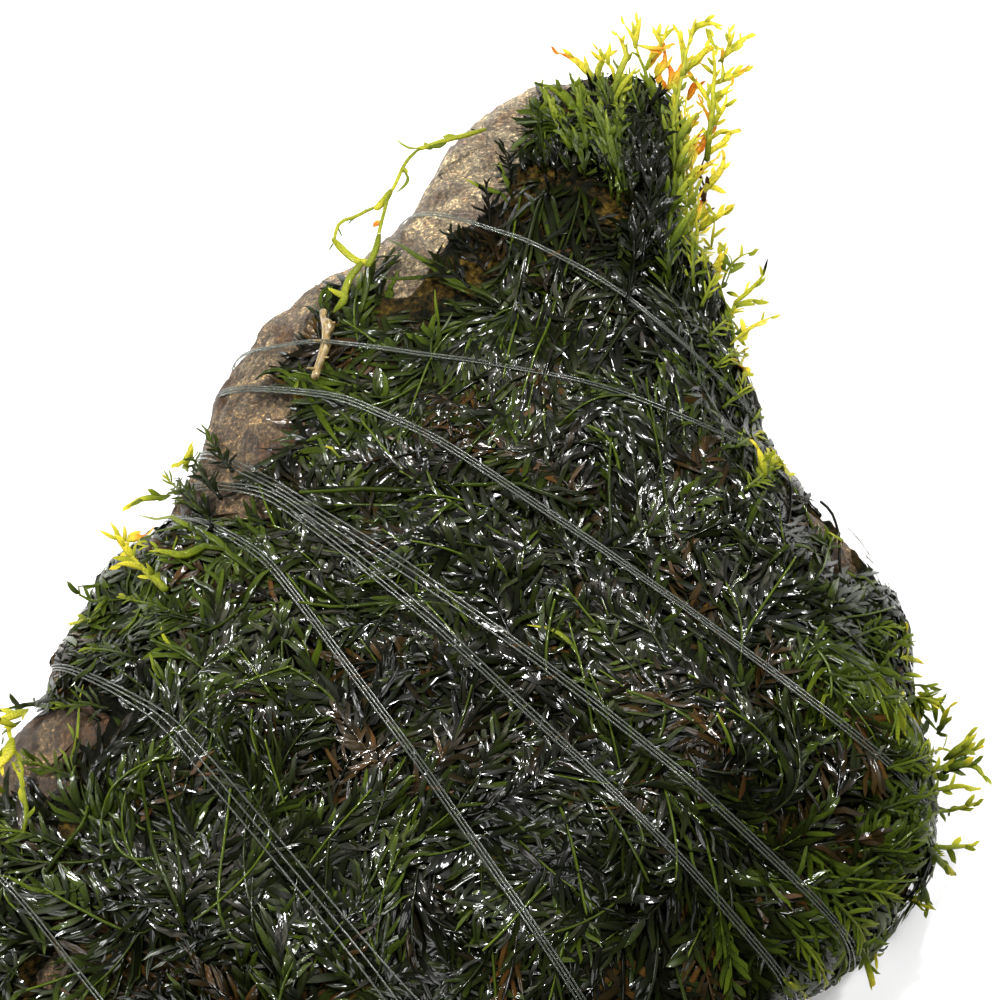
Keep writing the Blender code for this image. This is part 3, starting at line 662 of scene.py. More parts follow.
def pressed(points, height):
    # Moss is held below the line that crosses it: height <= line's height - gap + rise.
    gap, near, free, most = tieLine["press"]
    flat = points.reshape(-1, 3)
    nearest = np.array([lineTree.find(point)[1] for point in flat])
    away = flat - lineCourse[nearest]
    away = away - lineOut[nearest] * dot(away, lineOut[nearest])
    rise = smoothStep((np.linalg.norm(away, axis=1) - near) / (free - near))
    limit = lineLies[nearest] - gap + most * rise
    return np.minimum(height, limit.reshape(points.shape[:-1]))


# The fronds that make the mat.

fronds = {
    "seed": 21,
    "count": 1060,
    "stations": 18,  # points along each stem
    "length": (10.0, 22.0),
    "pitch": 0.5,  # mm of stem from one leaf to the next, on alternate sides
    "leafLength": (4.3, 7.4),
    "leafWidth": (0.58, 0.94),
    "opening": (24.0, 62.0),  # degrees between stem and leaf
    "rootHeight": -0.9,  # mm over the moss
    "tipHeight": 0.35,
    "bareRoots": 0.3,  # bareness over which no frond stands
    "layer": (-0.6, 0.35),  # mm that a whole frond lies higher or lower
    "swirl": (0.36, (16.0, 45.0), 8),  # radians off the flow, wave lengths in mm and count
    "stray": 0.3,  # radians off the flow by chance
    "bend": 0.035,  # radians a mm
    "rim": (14.0, 10.0),  # degrees of latitude below which a frond has at most this length
    "roll": (6, 20),  # degrees
    "leafStray": 0.2,
    # Tone in the middle and at the tip: mean, spread, its reach, and gain for each mm of layer.
    "tone": (0.33, 0.07, (-1.0, 1.0), 0.12),
    "tipTone": (0.42, 0.08, (-0.2, 0.13), 0.1),
    "toneSpread": 0.05,
    "oldShare": 0.13,  # of the fronds are brown
    "oldTones": {"tone": (0.02, 0.15), "tipTone": (0.05, 0.25)},
    "thinned": (0.25, 0.8),  # bareness between which the leaves die out
    "stemTone": (0.15, 0.08),  # lighter than the leaves
    "stemToneReach": (0.05, 0.58),
    "stemRadii": (0.24, 0.14),  # mm at root and tip, times a chance value
    "stemGirths": (0.75, 1.2),
    "stemRaise": (-0.4, 0.12),  # mm out of its leaves
    "stemLowest": 12.0,  # degrees of latitude
    "pale": (0.56, 17.0),  # tone over which, and latitude under which, a leaf is lit through
    "perPiece": 10000,  # leaves
    # Where fronds point in the photograph: pixel, degrees counterclockwise from right, pull.
    "flow": [
        (548, 150, 108), (600, 180, 96), (622, 250, 92), (672, 150, 91), (690, 300, 85),
        (500, 235, 150), (440, 285, 165), (560, 300, 110), (640, 380, 105), (700, 440, 75),
        (560, 400, 130), (480, 380, 118), (400, 420, 150), (430, 490, 178), (340, 490, 182),
        (530, 500, 165), (330, 580, 150), (250, 560, 150), (200, 620, 125), (620, 520, 100),
        (700, 540, 60), (760, 520, 50), (800, 600, 35), (860, 660, 8), (870, 760, -15), (800, 740, 20),
        (720, 640, 85), (640, 620, 120), (560, 600, 150), (500, 660, 215), (420, 640, 100),
        (400, 720, 75), (300, 700, 95), (200, 720, 110), (110, 760, 140), (140, 860, 255),
        (60, 880, 200), (220, 880, 75), (300, 840, 100), (400, 820, 60), (480, 780, 20),
        (560, 760, 300), (640, 760, 90), (700, 800, 330), (780, 860, 320), (860, 880, 330),
        (700, 900, 280), (600, 880, 250), (500, 900, 230), (420, 950, 260), (300, 950, 100),
        (200, 960, 240),
    ],
}


random = np.random.default_rng(fronds["seed"])


def flowAt(points, normals):
    # Pull of the photographed directions, weighted by 1 / (distance + 2)^3, blended into the
    # outward direction far from them, and laid into the surface.
    rows = np.array(fronds["flow"], float)
    anchors, _ = onMoss(rows[:, :2], 0.0)
    angles = np.radians(rows[:, 2])
    ways = np.stack([np.cos(angles), np.sin(angles), 0 * angles], -1)
    away = np.linalg.norm(points[:, None] - anchors, axis=-1)
    weight = 1 / (away + 2.0) ** 3
    pull = (weight[..., None] * ways).sum(1) / weight.sum(1)[:, None]
    out = unit(points * np.array([1.0, 1.0, 0.0]))
    far = smoothStep((away.min(1) - 14) / 14)[:, None]
    way = pull * (1 - far) + out * far
    return unit(way - normals * dot(way, normals))


def turnAbout(ways, normals, angles):
    # Rotates each direction in the plane of its normal.
    angles = np.asarray(angles)[..., None]
    return ways * np.cos(angles) + np.cross(normals, ways) * np.sin(angles)


def scatterRoots(count):
    # Even spots on the moss: candidates drawn by area, and the most crowded one dropped in turn.
    azimuths = np.linspace(-math.pi, math.pi, 721)[:-1] + 0.004
    shares = (np.arange(160) + 0.5) / 160
    azimuth, share = np.meshgrid(azimuths, shares, indexing="ij")
    edge = matEdge(azimuth)
    latitude = edge + (pole - edge) * share
    point, _ = matSurface(azimuth, latitude)
    east = np.roll(point, -1, 0) - point
    north = np.gradient(point, axis=1)
    area = np.linalg.norm(np.cross(east, north), axis=-1).ravel()
    chosen = random.choice(area.size, count * 5, replace=False, p=area / area.sum())
    spots = point.reshape(-1, 3)[chosen]
    kept = [0]
    nearest = np.linalg.norm(spots - spots[0], axis=1)
    for _ in range(count - 1):
        best = int(nearest.argmax())
        kept.append(best)
        nearest = np.minimum(nearest, np.linalg.norm(spots - spots[best], axis=1))
    return spots[kept]


def stemHeight(share):
    # Height of a stem over the moss: it rises from the root's to the tip's in a soft step.
    low, high = fronds["rootHeight"], fronds["tipHeight"]
    return low + (high - low) * smoothStep(share * 1.3)


def walkStems(roots, ways, lengths, bends, layer):
    # Each stem steps along its way and is draped again at every step, and turns by its bend.
    stations = fronds["stations"]
    step = lengths / (stations - 1)
    here, normal = drape(roots)
    ways = unit(ways - normal * dot(ways, normal))
    path, normals = [], []
    for number in range(stations):
        height = pressed(here, stemHeight(number / (stations - 1)) + layer)
        path.append(here + normal * height[:, None])
        normals.append(normal)
        ahead, normal = drape(here + ways * step[:, None], rounds=3)
        ways = unit(ahead - here)
        ways = turnAbout(ways, normal, bends * step)
        here = ahead
    return np.stack(path, 1), np.stack(normals, 1)


def along(path, share):
    # Linear interpolation of each path at its own share of length.
    place = np.clip(share, 0, 1) * (path.shape[1] - 1)
    low = np.minimum(place.astype(int), path.shape[1] - 2)
    rows = np.arange(len(path))[:, None] + 0 * low
    part = (place - low)[..., None]
    return path[rows, low] * (1 - part) + path[rows, low + 1] * part


tones = {
    "columns": 48,  # each leaf tone has its own column of the leaf map
    "margin": 0.42,  # share of it on either side of its middle that a leaf takes up
}


def toneColumn(tone, across):
    # Place in the leaf map: the tone picks a column and the place across the leaf its part of it.
    column = np.clip(np.floor(tone * tones["columns"]), 0, tones["columns"] - 1)
    return (column + 0.5 + tones["margin"] * across) / tones["columns"]


leafForm = {
    "lengths": (0.82, 1.12),  # shares of the frond's own leaf length and width
    "leafWidths": (0.7, 1.3),
    "lift": (-0.25, 0.3),  # mm
    "bend": (0.2, 0.38),  # mean and spread, towards the frond's tip
    "wave": 0.06,
    "twist": 0.5,  # radians
    "stations": np.array([0.16, 0.46, 0.78]),  # shares of length that have a ring of three points
    "widths": np.array([0.84, 1.0, 0.78]),
    "ridge": 0.13,  # height of the rounded back as a share of half width
}


def growLeaves(path, normals, traits):
    # Leaf j stands at arc length j * pitch on alternate sides, at an angle that closes towards
    # the tip, and its length falls with (1.04 - share)^0.45 along the stem. A trait is one value
    # for each frond or one for all. Returns one row a leaf.
    traits = {name: np.reshape(values, (-1, 1)) for name, values in traits.items()}
    most = int((traits["length"] / traits["pitch"]).max()) + 1
    number = np.arange(most)[None, :] + np.zeros((len(path), 1))
    arc = (number + random.uniform(-0.25, 0.25, number.shape)) * traits["pitch"]
    share = arc / traits["length"]
    used = (share > 0.02) & (share < 0.985)
    base = along(path, share)
    normal = unit(along(normals, share))
    way = unit(along(path, share + 0.03) - along(path, share - 0.03))
    side = np.where((number.astype(int) % 2) == 0, 1.0, -1.0)
    profile = np.minimum(1, 0.55 + 1.8 * share) * np.sqrt(np.clip(1.04 - share, 0, 1)) ** 0.9
    length = traits["leafLength"] * (0.3 + 0.7 * profile)
    length = length * random.uniform(*leafForm["lengths"], length.shape)
    width = traits["leafWidth"] * (0.55 + 0.45 * profile)
    width = width * random.uniform(*leafForm["leafWidths"], length.shape)
    angle = np.radians(traits["opening"]) * (1 - 0.5 * share**2)
    angle = angle + random.normal(0, 1, length.shape) * traits["stray"]
    tone = traits["tone"] + (traits["tipTone"] - traits["tone"]) * share**1.5
    tone = tone + random.normal(0, 1, length.shape) * traits["toneSpread"]
    rows = {
        "base": base, "normal": normal, "way": turnAbout(way, normal, side * angle),
        "length": length, "width": width, "tone": tone, "share": share,
        "frond": np.arange(len(path))[:, None] + 0 * number.astype(int),
        "lift": random.uniform(*leafForm["lift"], length.shape),
        "roll": random.normal(0, 1, length.shape) * np.radians(traits["roll"]),
        "bend": -side * random.normal(*leafForm["bend"], length.shape),
        "wave": random.normal(0, leafForm["wave"], length.shape),
        "twist": random.normal(0, leafForm["twist"], length.shape),
    }
    return {key: value[used] for key, value in rows.items()}


def leafMesh(rows, draped):
    # A leaf is a base point, three rings of left, ridge and right, and a tip point. Its middle
    # line is base + way * length * t, moved sideways by bend * 0.6 t^2 + wave * sin(5.5 t) of its
    # length, lifted by sin(3 pi t / 4), and laid on the moss where it is draped.
    t = np.concatenate([[0.0], leafForm["stations"], [1.0]])
    base, normal, way = rows["base"], rows["normal"], rows["way"]
    length = rows["length"][:, None]
    sideWay = np.cross(normal, way)
    line = (base[:, None] + way[:, None] * (length * t)[..., None]
            + sideWay[:, None] * (rows["bend"][:, None] * t**2 * length)[..., None] * 0.6
            + sideWay[:, None] * (rows["wave"][:, None] * np.sin(t * 5.5) * length)[..., None])
    lift = rows["lift"][:, None] * np.sin(t * math.pi * 0.75)
    if draped:
        height = pressed(line, rows["stemHeight"][:, None] * (1 - 0.35 * t) + lift)
        line, _ = drape(line, height, rounds=3)
        line[:, 0] = base
        normalsHere = lieOf(line[:, 2])[:, None] + 0 * line
    else:
        line = line + normal[:, None] * (lift * 1.5)[..., None]
        normalsHere = normal[:, None] + 0 * line
    ways = unit(np.gradient(line, axis=1))
    across = unit(np.cross(normalsHere, ways))
    up = np.cross(ways, across)
    roll = (rows["roll"][:, None] + rows["twist"][:, None] * (t - 0.4))[..., None]
    across, up = across * np.cos(roll) + up * np.sin(roll), up * np.cos(roll) - across * np.sin(roll)
    half = (rows["width"][:, None] / 2 * leafForm["widths"])[..., None]
    middle, across, up = line[:, 1:4], across[:, 1:4], up[:, 1:4]
    rings = np.stack([middle - across * half, middle + up * half * leafForm["ridge"],
                      middle + across * half], 2)
    count = len(base)
    points = np.concatenate([line[:, :1], rings.reshape(count, 9, 3), line[:, 4:]], 1)
    faces = [(0, 2, 1), (0, 3, 2), (0, 1, 3)]
    for ringNumber in (1, 4):
        left, ridge, right = ringNumber, ringNumber + 1, ringNumber + 2
        faces += [(left, ridge, ridge + 3), (left, ridge + 3, left + 3)]
        faces += [(ridge, right, right + 3), (ridge, right + 3, ridge + 3)]
        faces += [(right, left, left + 3), (right, left + 3, right + 3)]
    faces += [(7, 8, 10), (8, 9, 10), (9, 7, 10)]
    faces = np.array(faces)
    allFaces = faces[None] + np.arange(count)[:, None, None] * 11
    acrossMap = np.array([0, -1, 0, 1, -1, 0, 1, -1, 0, 1, 0.0])
    alongMap = np.concatenate([[0.02], np.repeat(leafForm["stations"], 3), [0.98]])
    uv = np.stack([toneColumn(rows["tone"][:, None], acrossMap[None, :]),
                   np.broadcast_to(alongMap, (count, 11))], -1)
    # Bit 1 marks the left edge, bit 2 the right: an edge whose ends share a bit is sharp.
    kinds = np.array([3, 1, 0, 2, 1, 0, 2, 1, 0, 2, 3])
    return (points.reshape(-1, 3), allFaces.reshape(-1, 3), uv.reshape(-1, 2),
            np.tile(kinds, count))


def tubeMesh(path, normals, radii, sides, tone, flatness=1.0):
    # An oval section carried along each path, closed by a point at both ends. Flatness is its
    # height as a share of its width, and tone one value a path or one a station.
    count, stations = path.shape[:2]
    ways = unit(np.gradient(path, axis=1))
    across = unit(np.cross(normals, ways))
    up = np.cross(ways, across) * np.broadcast_to(flatness, (count,))[:, None, None]
    turn = np.arange(sides) * 2 * math.pi / sides
    rings = (path[:, :, None]
             + (across[:, :, None] * np.cos(turn)[:, None] + up[:, :, None] * np.sin(turn)[:, None])
             * radii[:, :, None, None])
    start = path[:, :1] - ways[:, :1] * radii[:, :1, None] * 0.8
    end = path[:, -1:] + ways[:, -1:] * radii[:, -1:, None] * 0.8
    points = np.concatenate([start, rings.reshape(count, -1, 3), end], 1)
    ringStart = 1 + np.arange(stations - 1)[:, None] * sides
    here = np.arange(sides)[None, :]
    following = (here + 1) % sides
    a, b = ringStart + here, ringStart + following
    walls = np.stack([np.stack([a, b, b + sides], -1), np.stack([a, b + sides, a + sides], -1)], 2)
    last = 1 + (stations - 1) * sides
    ends = np.concatenate([
        np.stack([0 * here[0], 1 + following[0], 1 + here[0]], -1),
        np.stack([last + here[0], last + following[0], 0 * here[0] + last + sides], -1)])
    faces = np.concatenate([walls.reshape(-1, 3), ends])
    faces = faces[None] + np.arange(count)[:, None, None] * points.shape[1]
    alongMap = np.concatenate([[0.02], np.repeat(np.linspace(0.02, 0.98, stations), sides), [0.98]])
    acrossMap = np.concatenate([[0.0], np.tile(np.cos(turn), stations), [0.0]])
    tone = np.broadcast_to(np.reshape(tone, (count, -1)), (count, stations))
    tone = np.concatenate([tone[:, :1], np.repeat(tone, sides, axis=1), tone[:, -1:]], 1)
    uv = np.stack([toneColumn(tone, acrossMap[None]),
                   np.broadcast_to(alongMap, points.shape[:2])], -1)
    return points.reshape(-1, 3), faces.reshape(-1, 3), uv.reshape(-1, 2), np.zeros(uv[..., 0].size, int)


# Tone along the leaf map, from brown through olive and greens to yellow and orange.
toneStops = [
    (0.00, "#4c3314"), (0.06, "#392a10"), (0.13, "#211a09"), (0.24, "#090a04"), (0.36, "#0e1204"),
    (0.48, "#1f2708"), (0.58, "#3c4a11"), (0.68, "#62731e"), (0.76, "#8f9a2b"), (0.84, "#c4c23c"),
    (0.92, "#e8d84c"), (1.00, "#d68828")]


def leafMaterial(name, glow, sheen, shade, rim, film):
    # Wet leaf blade: a translucent green sheet under a film of water. The rough blade gives the
    # dim grey sheen, the film the hard white glints, and the ramp over the leaf map its colour.
    # Glow is the share of light let through, sheen the blade's own shine, shade the brightness of the
    # painted shade at the stem, rim the same at its margins, and film the weight of the water on it.
    material, tree, shader = newMaterial(name)
    uv = addNode(tree, "ShaderNodeUVMap", uv_map="OFBake").outputs["UV"]
    parts = addNode(tree, "ShaderNodeSeparateXYZ", {"Vector": uv})
    shift = addNode(tree, "ShaderNodeMath", {
        0: parts.outputs["Y"], 1: 0.07, 2: -0.03}, operation="MULTIPLY_ADD")
    tone = addNode(tree, "ShaderNodeMath", {0: parts.outputs["X"], 1: shift.outputs[0]}, operation="ADD")
    colour = setRamp(addNode(tree, "ShaderNodeValToRGB", {"Fac": tone.outputs[0]}), toneStops)
    # One leaf is 0.8 mm wide and 4.3 mm long: cells in the map are drawn as cells 0.15 mm across.
    cellPlace = addNode(tree, "ShaderNodeMapping", {
        "Vector": uv, "Scale": (tones["columns"] * 1.0, 4.3, 1.0)})
    cells = addNode(tree, "ShaderNodeTexNoise", {
        "Vector": cellPlace.outputs["Vector"], "Scale": 5.0, "Detail": 2.0, "Roughness": 0.65})
    mottle = addNode(tree, "ShaderNodeMapRange", {
        "Value": cells.outputs["Fac"], "From Min": 0.3, "From Max": 0.7, "To Min": 0.6, "To Max": 1.4})
    painted = addNode(tree, "ShaderNodeMix", {
        "Factor": 1.0, 6: colour.outputs["Color"], 7: mottle.outputs["Result"]},
        data_type="RGBA", blend_type="MULTIPLY")
    # Painted shade: the blade is darker at its margins, which parts it from the leaves beside it, and near
    # the stem, where shade falls. Its water film is thinner at the margins too.
    column = addNode(tree, "ShaderNodeMath", {
        0: parts.outputs["X"], 1: tones["columns"]}, operation="MULTIPLY")
    inColumn = addNode(tree, "ShaderNodeMath", {0: column.outputs[0]}, operation="FRACT")
    across = addNode(tree, "ShaderNodeMath", {0: inColumn.outputs[0], 1: 0.5}, operation="SUBTRACT")
    offMiddle = addNode(tree, "ShaderNodeMath", {0: across.outputs[0]}, operation="ABSOLUTE")
    marginShadeAndDrying = addNode(tree, "ShaderNodeMapRange", {
        "Value": offMiddle.outputs[0], "From Min": 0.26, "From Max": 0.42, "To Min": 1.0, "To Max": rim})
    outer = addNode(tree, "ShaderNodeMapRange", {
        "Value": parts.outputs["Y"], "From Min": 0.02, "From Max": 0.5, "To Min": shade, "To Max": 1.0})
    clear = addNode(tree, "ShaderNodeMath", {
        0: marginShadeAndDrying.outputs["Result"], 1: outer.outputs["Result"]}, operation="MULTIPLY")
    painted = addNode(tree, "ShaderNodeMix", {
        "Factor": 1.0, 6: painted.outputs[2], 7: clear.outputs[0]},
        data_type="RGBA", blend_type="MULTIPLY")
    # The water lies in waves 0.4 mm across the leaf and 2.3 mm along it, which draw the glints
    # out, and which shift from place to place. It has drained from the moss low on the rim.
    place = addNode(tree, "ShaderNodeTexCoord").outputs["Object"]
    upright = addNode(tree, "ShaderNodeSeparateXYZ", {"Vector": place})
    soaked = addNode(tree, "ShaderNodeMapRange", {
        "Value": upright.outputs["Z"], "From Min": 0.004, "From Max": 0.016, "To Min": 0.1, "To Max": film})
    wet = addNode(tree, "ShaderNodeMath", {
        0: soaked.outputs["Result"], 1: marginShadeAndDrying.outputs["Result"]}, operation="MULTIPLY")
    lengthwise = addNode(tree, "ShaderNodeMapping", {
        "Vector": uv, "Scale": (tones["columns"] * 1.3, 1.2, 1.0)})
    shifted = addNode(tree, "ShaderNodeVectorMath", {
        0: place, 1: (140.0, 140.0, 140.0), 2: lengthwise.outputs["Vector"]}, operation="MULTIPLY_ADD")
    waves = addNode(tree, "ShaderNodeTexNoise", {
        "Vector": shifted.outputs["Vector"], "Scale": 1.6, "Detail": 1.0, "Roughness": 0.5})
    rippled = addNode(tree, "ShaderNodeBump", {
        "Height": waves.outputs["Fac"], "Strength": 0.6, "Distance": 0.00022})
    feed(tree, shader, {
        "Base Color": painted.outputs[2], "Roughness": 0.36, "Specular IOR Level": sheen,
        "Coat Weight": wet.outputs[0], "Coat Normal": rippled.outputs["Normal"],
        "Coat Roughness": 0.012, "Coat IOR": 1.29})
    through = addNode(tree, "ShaderNodeBsdfTranslucent", {"Color": painted.outputs[2]})
    mixed = addNode(tree, "ShaderNodeMixShader", {
        "Fac": glow, 1: shader.outputs["BSDF"], 2: through.outputs["BSDF"]})
    feed(tree, tree.nodes["Material Output"], {"Surface": mixed.outputs["Shader"]})
    return material


wetLeaf = leafMaterial("wet moss leaf", 0.2, 0.08, 0.35, 0.3, 1.0)
freshLeaf = leafMaterial("fresh moss leaf", 0.6, 0.1, 0.8, 1.0, 0.5)


def stackMeshes(meshes):
    # Joins (points, faces, uv, kinds) meshes into one, with the faces' numbers moved on.
    points, faces, uv, kinds = zip(*meshes)
    offsets = np.cumsum([0, *map(len, points[:-1])])
    faces = [part + offset for part, offset in zip(faces, offsets)]
    return [np.concatenate(parts) for parts in (points, faces, uv, kinds)]


# How bright the moss is by place in the photograph: pixel, tone added. It is partly the moss's own tone and
# partly painted light: low on the right rim the leaves are made lighter and yellower where light shines
# through them.
toneAndLightMap = np.array([
    (560, 120, 0.18), (610, 100, 0.2), (650, 86, 0.1), (580, 200, 0.06), (680, 120, 0.16),
    (690, 200, 0.1), (640, 160, -0.08), (500, 230, 0.0), (440, 290, 0.1), (400, 300, 0.08),
    (560, 320, -0.02), (640, 300, -0.03), (700, 350, 0.02), (480, 420, 0.02), (560, 460, -0.06),
    (620, 560, -0.07), (760, 540, -0.04), (860, 600, 0.04), (905, 700, 0.3), (850, 760, -0.02),
    (908, 800, 0.28), (905, 870, 0.28), (830, 900, 0.08), (840, 850, 0.06), (865, 950, 0.24),
    (790, 975, 0.1), (780, 900, 0.0), (700, 860, -0.02), (560, 700, -0.06), (460, 600, -0.04),
    (400, 500, 0.02), (250, 600, 0.06), (120, 620, 0.1), (180, 760, 0.0), (100, 860, 0.06),
    (30, 900, 0.1), (300, 800, -0.02), (260, 950, 0.02), (480, 960, -0.02), (620, 980, 0.0),
])


def toneAndLightAt(points):
    # Mean of the map, weighted by 1 / (pixels away + 25)^3.
    pixels = pixelOf(points)
    weight = 1 / (np.linalg.norm(pixels[:, None] - toneAndLightMap[:, :2], axis=-1) + 25) ** 3
    return (weight * toneAndLightMap[:, 2]).sum(1) / weight.sum(1)


count = fronds["count"]
roots = scatterRoots(count)
roots = roots[bareness(roots) < fronds["bareRoots"]]
count = len(roots)
rootNormals = lieOf(roots)
swirl = smoothWaves(roots, *fronds["swirl"], seed + 13) + random.normal(0, fronds["stray"], count)
ways = turnAbout(flowAt(roots, rootNormals), rootNormals, swirl)
lengths = random.uniform(*fronds["length"], count)
lowest, longest = fronds["rim"]
lengths = np.where(np.degrees(fanOf(roots)[1]) < lowest, np.minimum(lengths, longest), lengths)
starts = roots - ways * (lengths * 0.5)[:, None]  # its middle lies on the spot
layer = random.uniform(*fronds["layer"], count)
path, normals = walkStems(starts, ways, lengths, random.normal(0, fronds["bend"], count), layer)
print("stems walked", path.shape)


def frondTone(trait, station):
    # Mean + the map's tone and painted light at this station of the stem + chance + gain * layer.
    mean, spread, reach, gain = fronds[trait]
    chance = random.normal(0, spread, count).clip(*reach)
    return mean + toneAndLightAt(path[:, station]) + chance + gain * layer


traits = {
    "length": lengths,
    "pitch": fronds["pitch"],
    "leafLength": random.uniform(*fronds["leafLength"], count),
    "leafWidth": random.uniform(*fronds["leafWidth"], count),
    "opening": random.uniform(*fronds["opening"], count),
    "tone": frondTone("tone", fronds["stations"] // 2),
    "tipTone": frondTone("tipTone", -1),
    "toneSpread": fronds["toneSpread"],
    "stray": fronds["leafStray"],
    "roll": random.uniform(*fronds["roll"], count),
}
old = random.random(count) < fronds["oldShare"]
for trait, reach in fronds["oldTones"].items():
    traits[trait] = np.where(old, random.uniform(*reach, count), traits[trait])
rows = growLeaves(path, normals, traits)
rows["stemHeight"] = layer[rows["frond"]] + stemHeight(rows["share"])
middles = rows["base"] + rows["way"] * rows["length"][:, None] * 0.6
bare = np.maximum(bareness(rows["base"]), bareness(middles))
keep = bare < random.uniform(*fronds["thinned"], len(bare))
for spots, slack in ((rows["base"], 1.0), (middles, 3.0)):  # degrees past the mat's edge
    leafAzimuth, leafLatitude = fanOf(spots)
    keep &= leafLatitude > matEdge(leafAzimuth) - math.radians(slack)
rows = {key: value[keep] for key, value in rows.items()}
print("leaves", len(rows["base"]))
stemTone = traits["tone"] + random.normal(*fronds["stemTone"], count)
thick, thin = fronds["stemRadii"]
girths = random.uniform(*fronds["stemGirths"], count)
stemRadii = np.linspace(thick, thin, fronds["stations"]) * girths[:, None]
raised = path + normals * random.uniform(*fronds["stemRaise"], count)[:, None, None]
stemAzimuth, stemLatitude = fanOf(path)
lowest = np.maximum(matEdge(stemAzimuth) - math.radians(0.8), math.radians(fronds["stemLowest"]))
whole = (stemLatitude > lowest).all(1)
stemMesh = tubeMesh(raised[whole], normals[whole], stemRadii[whole], 4,
                    np.clip(stemTone, *fronds["stemToneReach"])[whole])

paleTone, paleRim = fronds["pale"]
pale = (rows["tone"] > paleTone) | (fanOf(rows["base"])[1] < math.radians(paleRim))
pieces = int(math.ceil((~pale).sum() / fronds["perPiece"]))
order = np.argsort(np.where(pale, -1e6, rows["base"][:, 1]))
groups = [order[:pale.sum()], *np.array_split(order[pale.sum():], pieces)]
for number, chosen in enumerate(groups):
    mesh = leafMesh({key: value[chosen] for key, value in rows.items()}, True)
    name, material = (f"fronds_{number}", wetLeaf) if number else ("pale_fronds", freshLeaf)
    addPiece(name, mesh, material, "wet_moss", "moss_mat")
addPiece("frond_stems", stemMesh, wetLeaf, "wet_moss", "moss_mat")

# Blades and sprigs traced one by one.
bladeForm = {
    "stations": 9,
    "sides": 6,
    "pixel": 0.11,  # mm
    "lift": 0.55,  # mm over the moss
    "bareDrop": 2.0,  # mm lower where the moss is bare
    "overStone": 0.75,  # mm, least height over the stone
    "joins": 7.0,  # pixels within which a blade grows out of an earlier one
    "misses": (2.5, 6.0),  # pixels by which the moss found under its root, or it, may miss
    "yellow": (0.8, 9, 1.15),  # over this tone and under this width it is drawn wider
    # Blades whose tips are no higher lie on the mat or low on the rim, narrower and darker.
    "lying": 9,
    "lyingWidth": {"leaf": 0.75, "stem": 0.95, "strap": 0.75},
    "lyingTone": (0.07, 0.05),
    "bareLength": 2.6,  # mm, under which a blade has no leaflets
    "leaflets": (2.4, 1.5, 34.0, 0.6),  # length, pitch in mm, opening in degrees, width
    # Shares of length with their shares of width, and thickness as a share of width.
    "leaf": (([0, 0.12, 0.38, 0.66, 0.88, 1], [0.34, 0.62, 1.0, 0.84, 0.42, 0.1]), 0.2),
    "stem": (([0, 0.5, 1], [1.0, 0.85, 0.55]), 0.75),
    "strap": (([0, 0.2, 0.85, 1], [0.6, 1.0, 1.0, 0.8]), 0.5),
}


def smoothPath(points, count):
    # Catmull-Rom curve through the points, then evenly spaced along its length.
    points = np.asarray(points, float)
    if len(points) == 2:
        points = np.stack([points[0], points.mean(0), points[1]])
    padded = np.concatenate([2 * points[:1] - points[1:2], points, 2 * points[-1:] - points[-2:-1]])
    t = np.linspace(0, 1, 12, endpoint=False)[None, :, None]
    a, b, c, d = (padded[n:len(padded) - 3 + n][:, None] for n in range(4))
    fine = 0.5 * (2 * b + (c - a) * t + (2 * a - 5 * b + 4 * c - d) * t**2
                  + (3 * b - a - 3 * c + d) * t**3)
    return evenly(np.concatenate([fine.reshape(-1, points.shape[1]), points[-1:]]), count)


def rootHeight(pixel, given, lying, earlier):
    # Height of a blade's root: that of an earlier blade within a few pixels, or of the moss
    # that lies under its pixel, or else the given one.
    if earlier:
        points = np.concatenate(earlier)
        away = np.linalg.norm(pixelOf(points) - pixel, axis=1)
        if away.min() < bladeForm["joins"]:
            return points[away.argmin(), 2], True
    over = np.linalg.norm(pixelOf(lying[None])[0] - pixel) < bladeForm["misses"][0]
    return (lying[2] - 0.2, False) if over else (given, False)


def tracePath(pixels, low, high, count, earlier):
    # The rays of these pixels, cut at heights that run from the root's to the tip's, or where
    # they meet the moss if that lies nearer.
    pixels = smoothPath(np.reshape(pixels, (-1, 2)), count)
    lying, normals = onMoss(pixels, bladeForm["lift"])
    root, joined = rootHeight(pixels[0], low, lying[0], earlier)
    tip = root + high - low if joined else high
    share = np.linspace(0, 1, count) ** 0.8
    standing = atPixel(pixels, root + (tip - root) * share)
    thick = matThickness(*fanOf(lying), lying)
    drop = np.clip(bladeForm["lift"] + thick - bladeForm["overStone"], 0, bladeForm["bareDrop"])
    lying = lying - normals * (drop * bareness(lying))[:, None]
    met = np.linalg.norm(pixelOf(lying) - pixels, axis=1) < bladeForm["misses"][1]
    met = (met & (standing[:, 2] < lying[:, 2]))[:, None]
    facing = unit(np.array([0.0, -0.25, 1.0]))  # up, and a little towards the camera
    return np.where(met, lying, standing), unit(np.where(met, normals, facing))


def bladesMesh(rows):
    # Oval tubes whose width follows their form and whose tone runs from root to tip.
    count = bladeForm["stations"]
    t = np.linspace(0, 1, count)
    paths, normals, radii, toneRows, flatness = [], [], [], [], []
    for form, width, toneRoot, toneTip, low, high, *pixels in rows:
        path, normal = tracePath(pixels, low, high, count, paths)
        profile, flat = bladeForm[form]
        paleTone, slender, wider = bladeForm["yellow"]
        if toneTip > paleTone and width < slender:
            width = width * wider
        if high <= bladeForm["lying"]:
            width = width * bladeForm["lyingWidth"][form]
            toneRoot, toneTip = np.subtract((toneRoot, toneTip), bladeForm["lyingTone"])
        paths.append(path)
        normals.append(normal)
        radii.append(np.interp(t, *profile) * width * bladeForm["pixel"] / 2)
        toneRows.append(toneRoot + (toneTip - toneRoot) * t)
        flatness.append(flat)
    paths, normals, toneRows = np.array(paths), np.array(normals), np.array(toneRows)
    blades = tubeMesh(paths, normals, np.array(radii), bladeForm["sides"], toneRows, flatness)
    return blades, paths, normals, toneRows


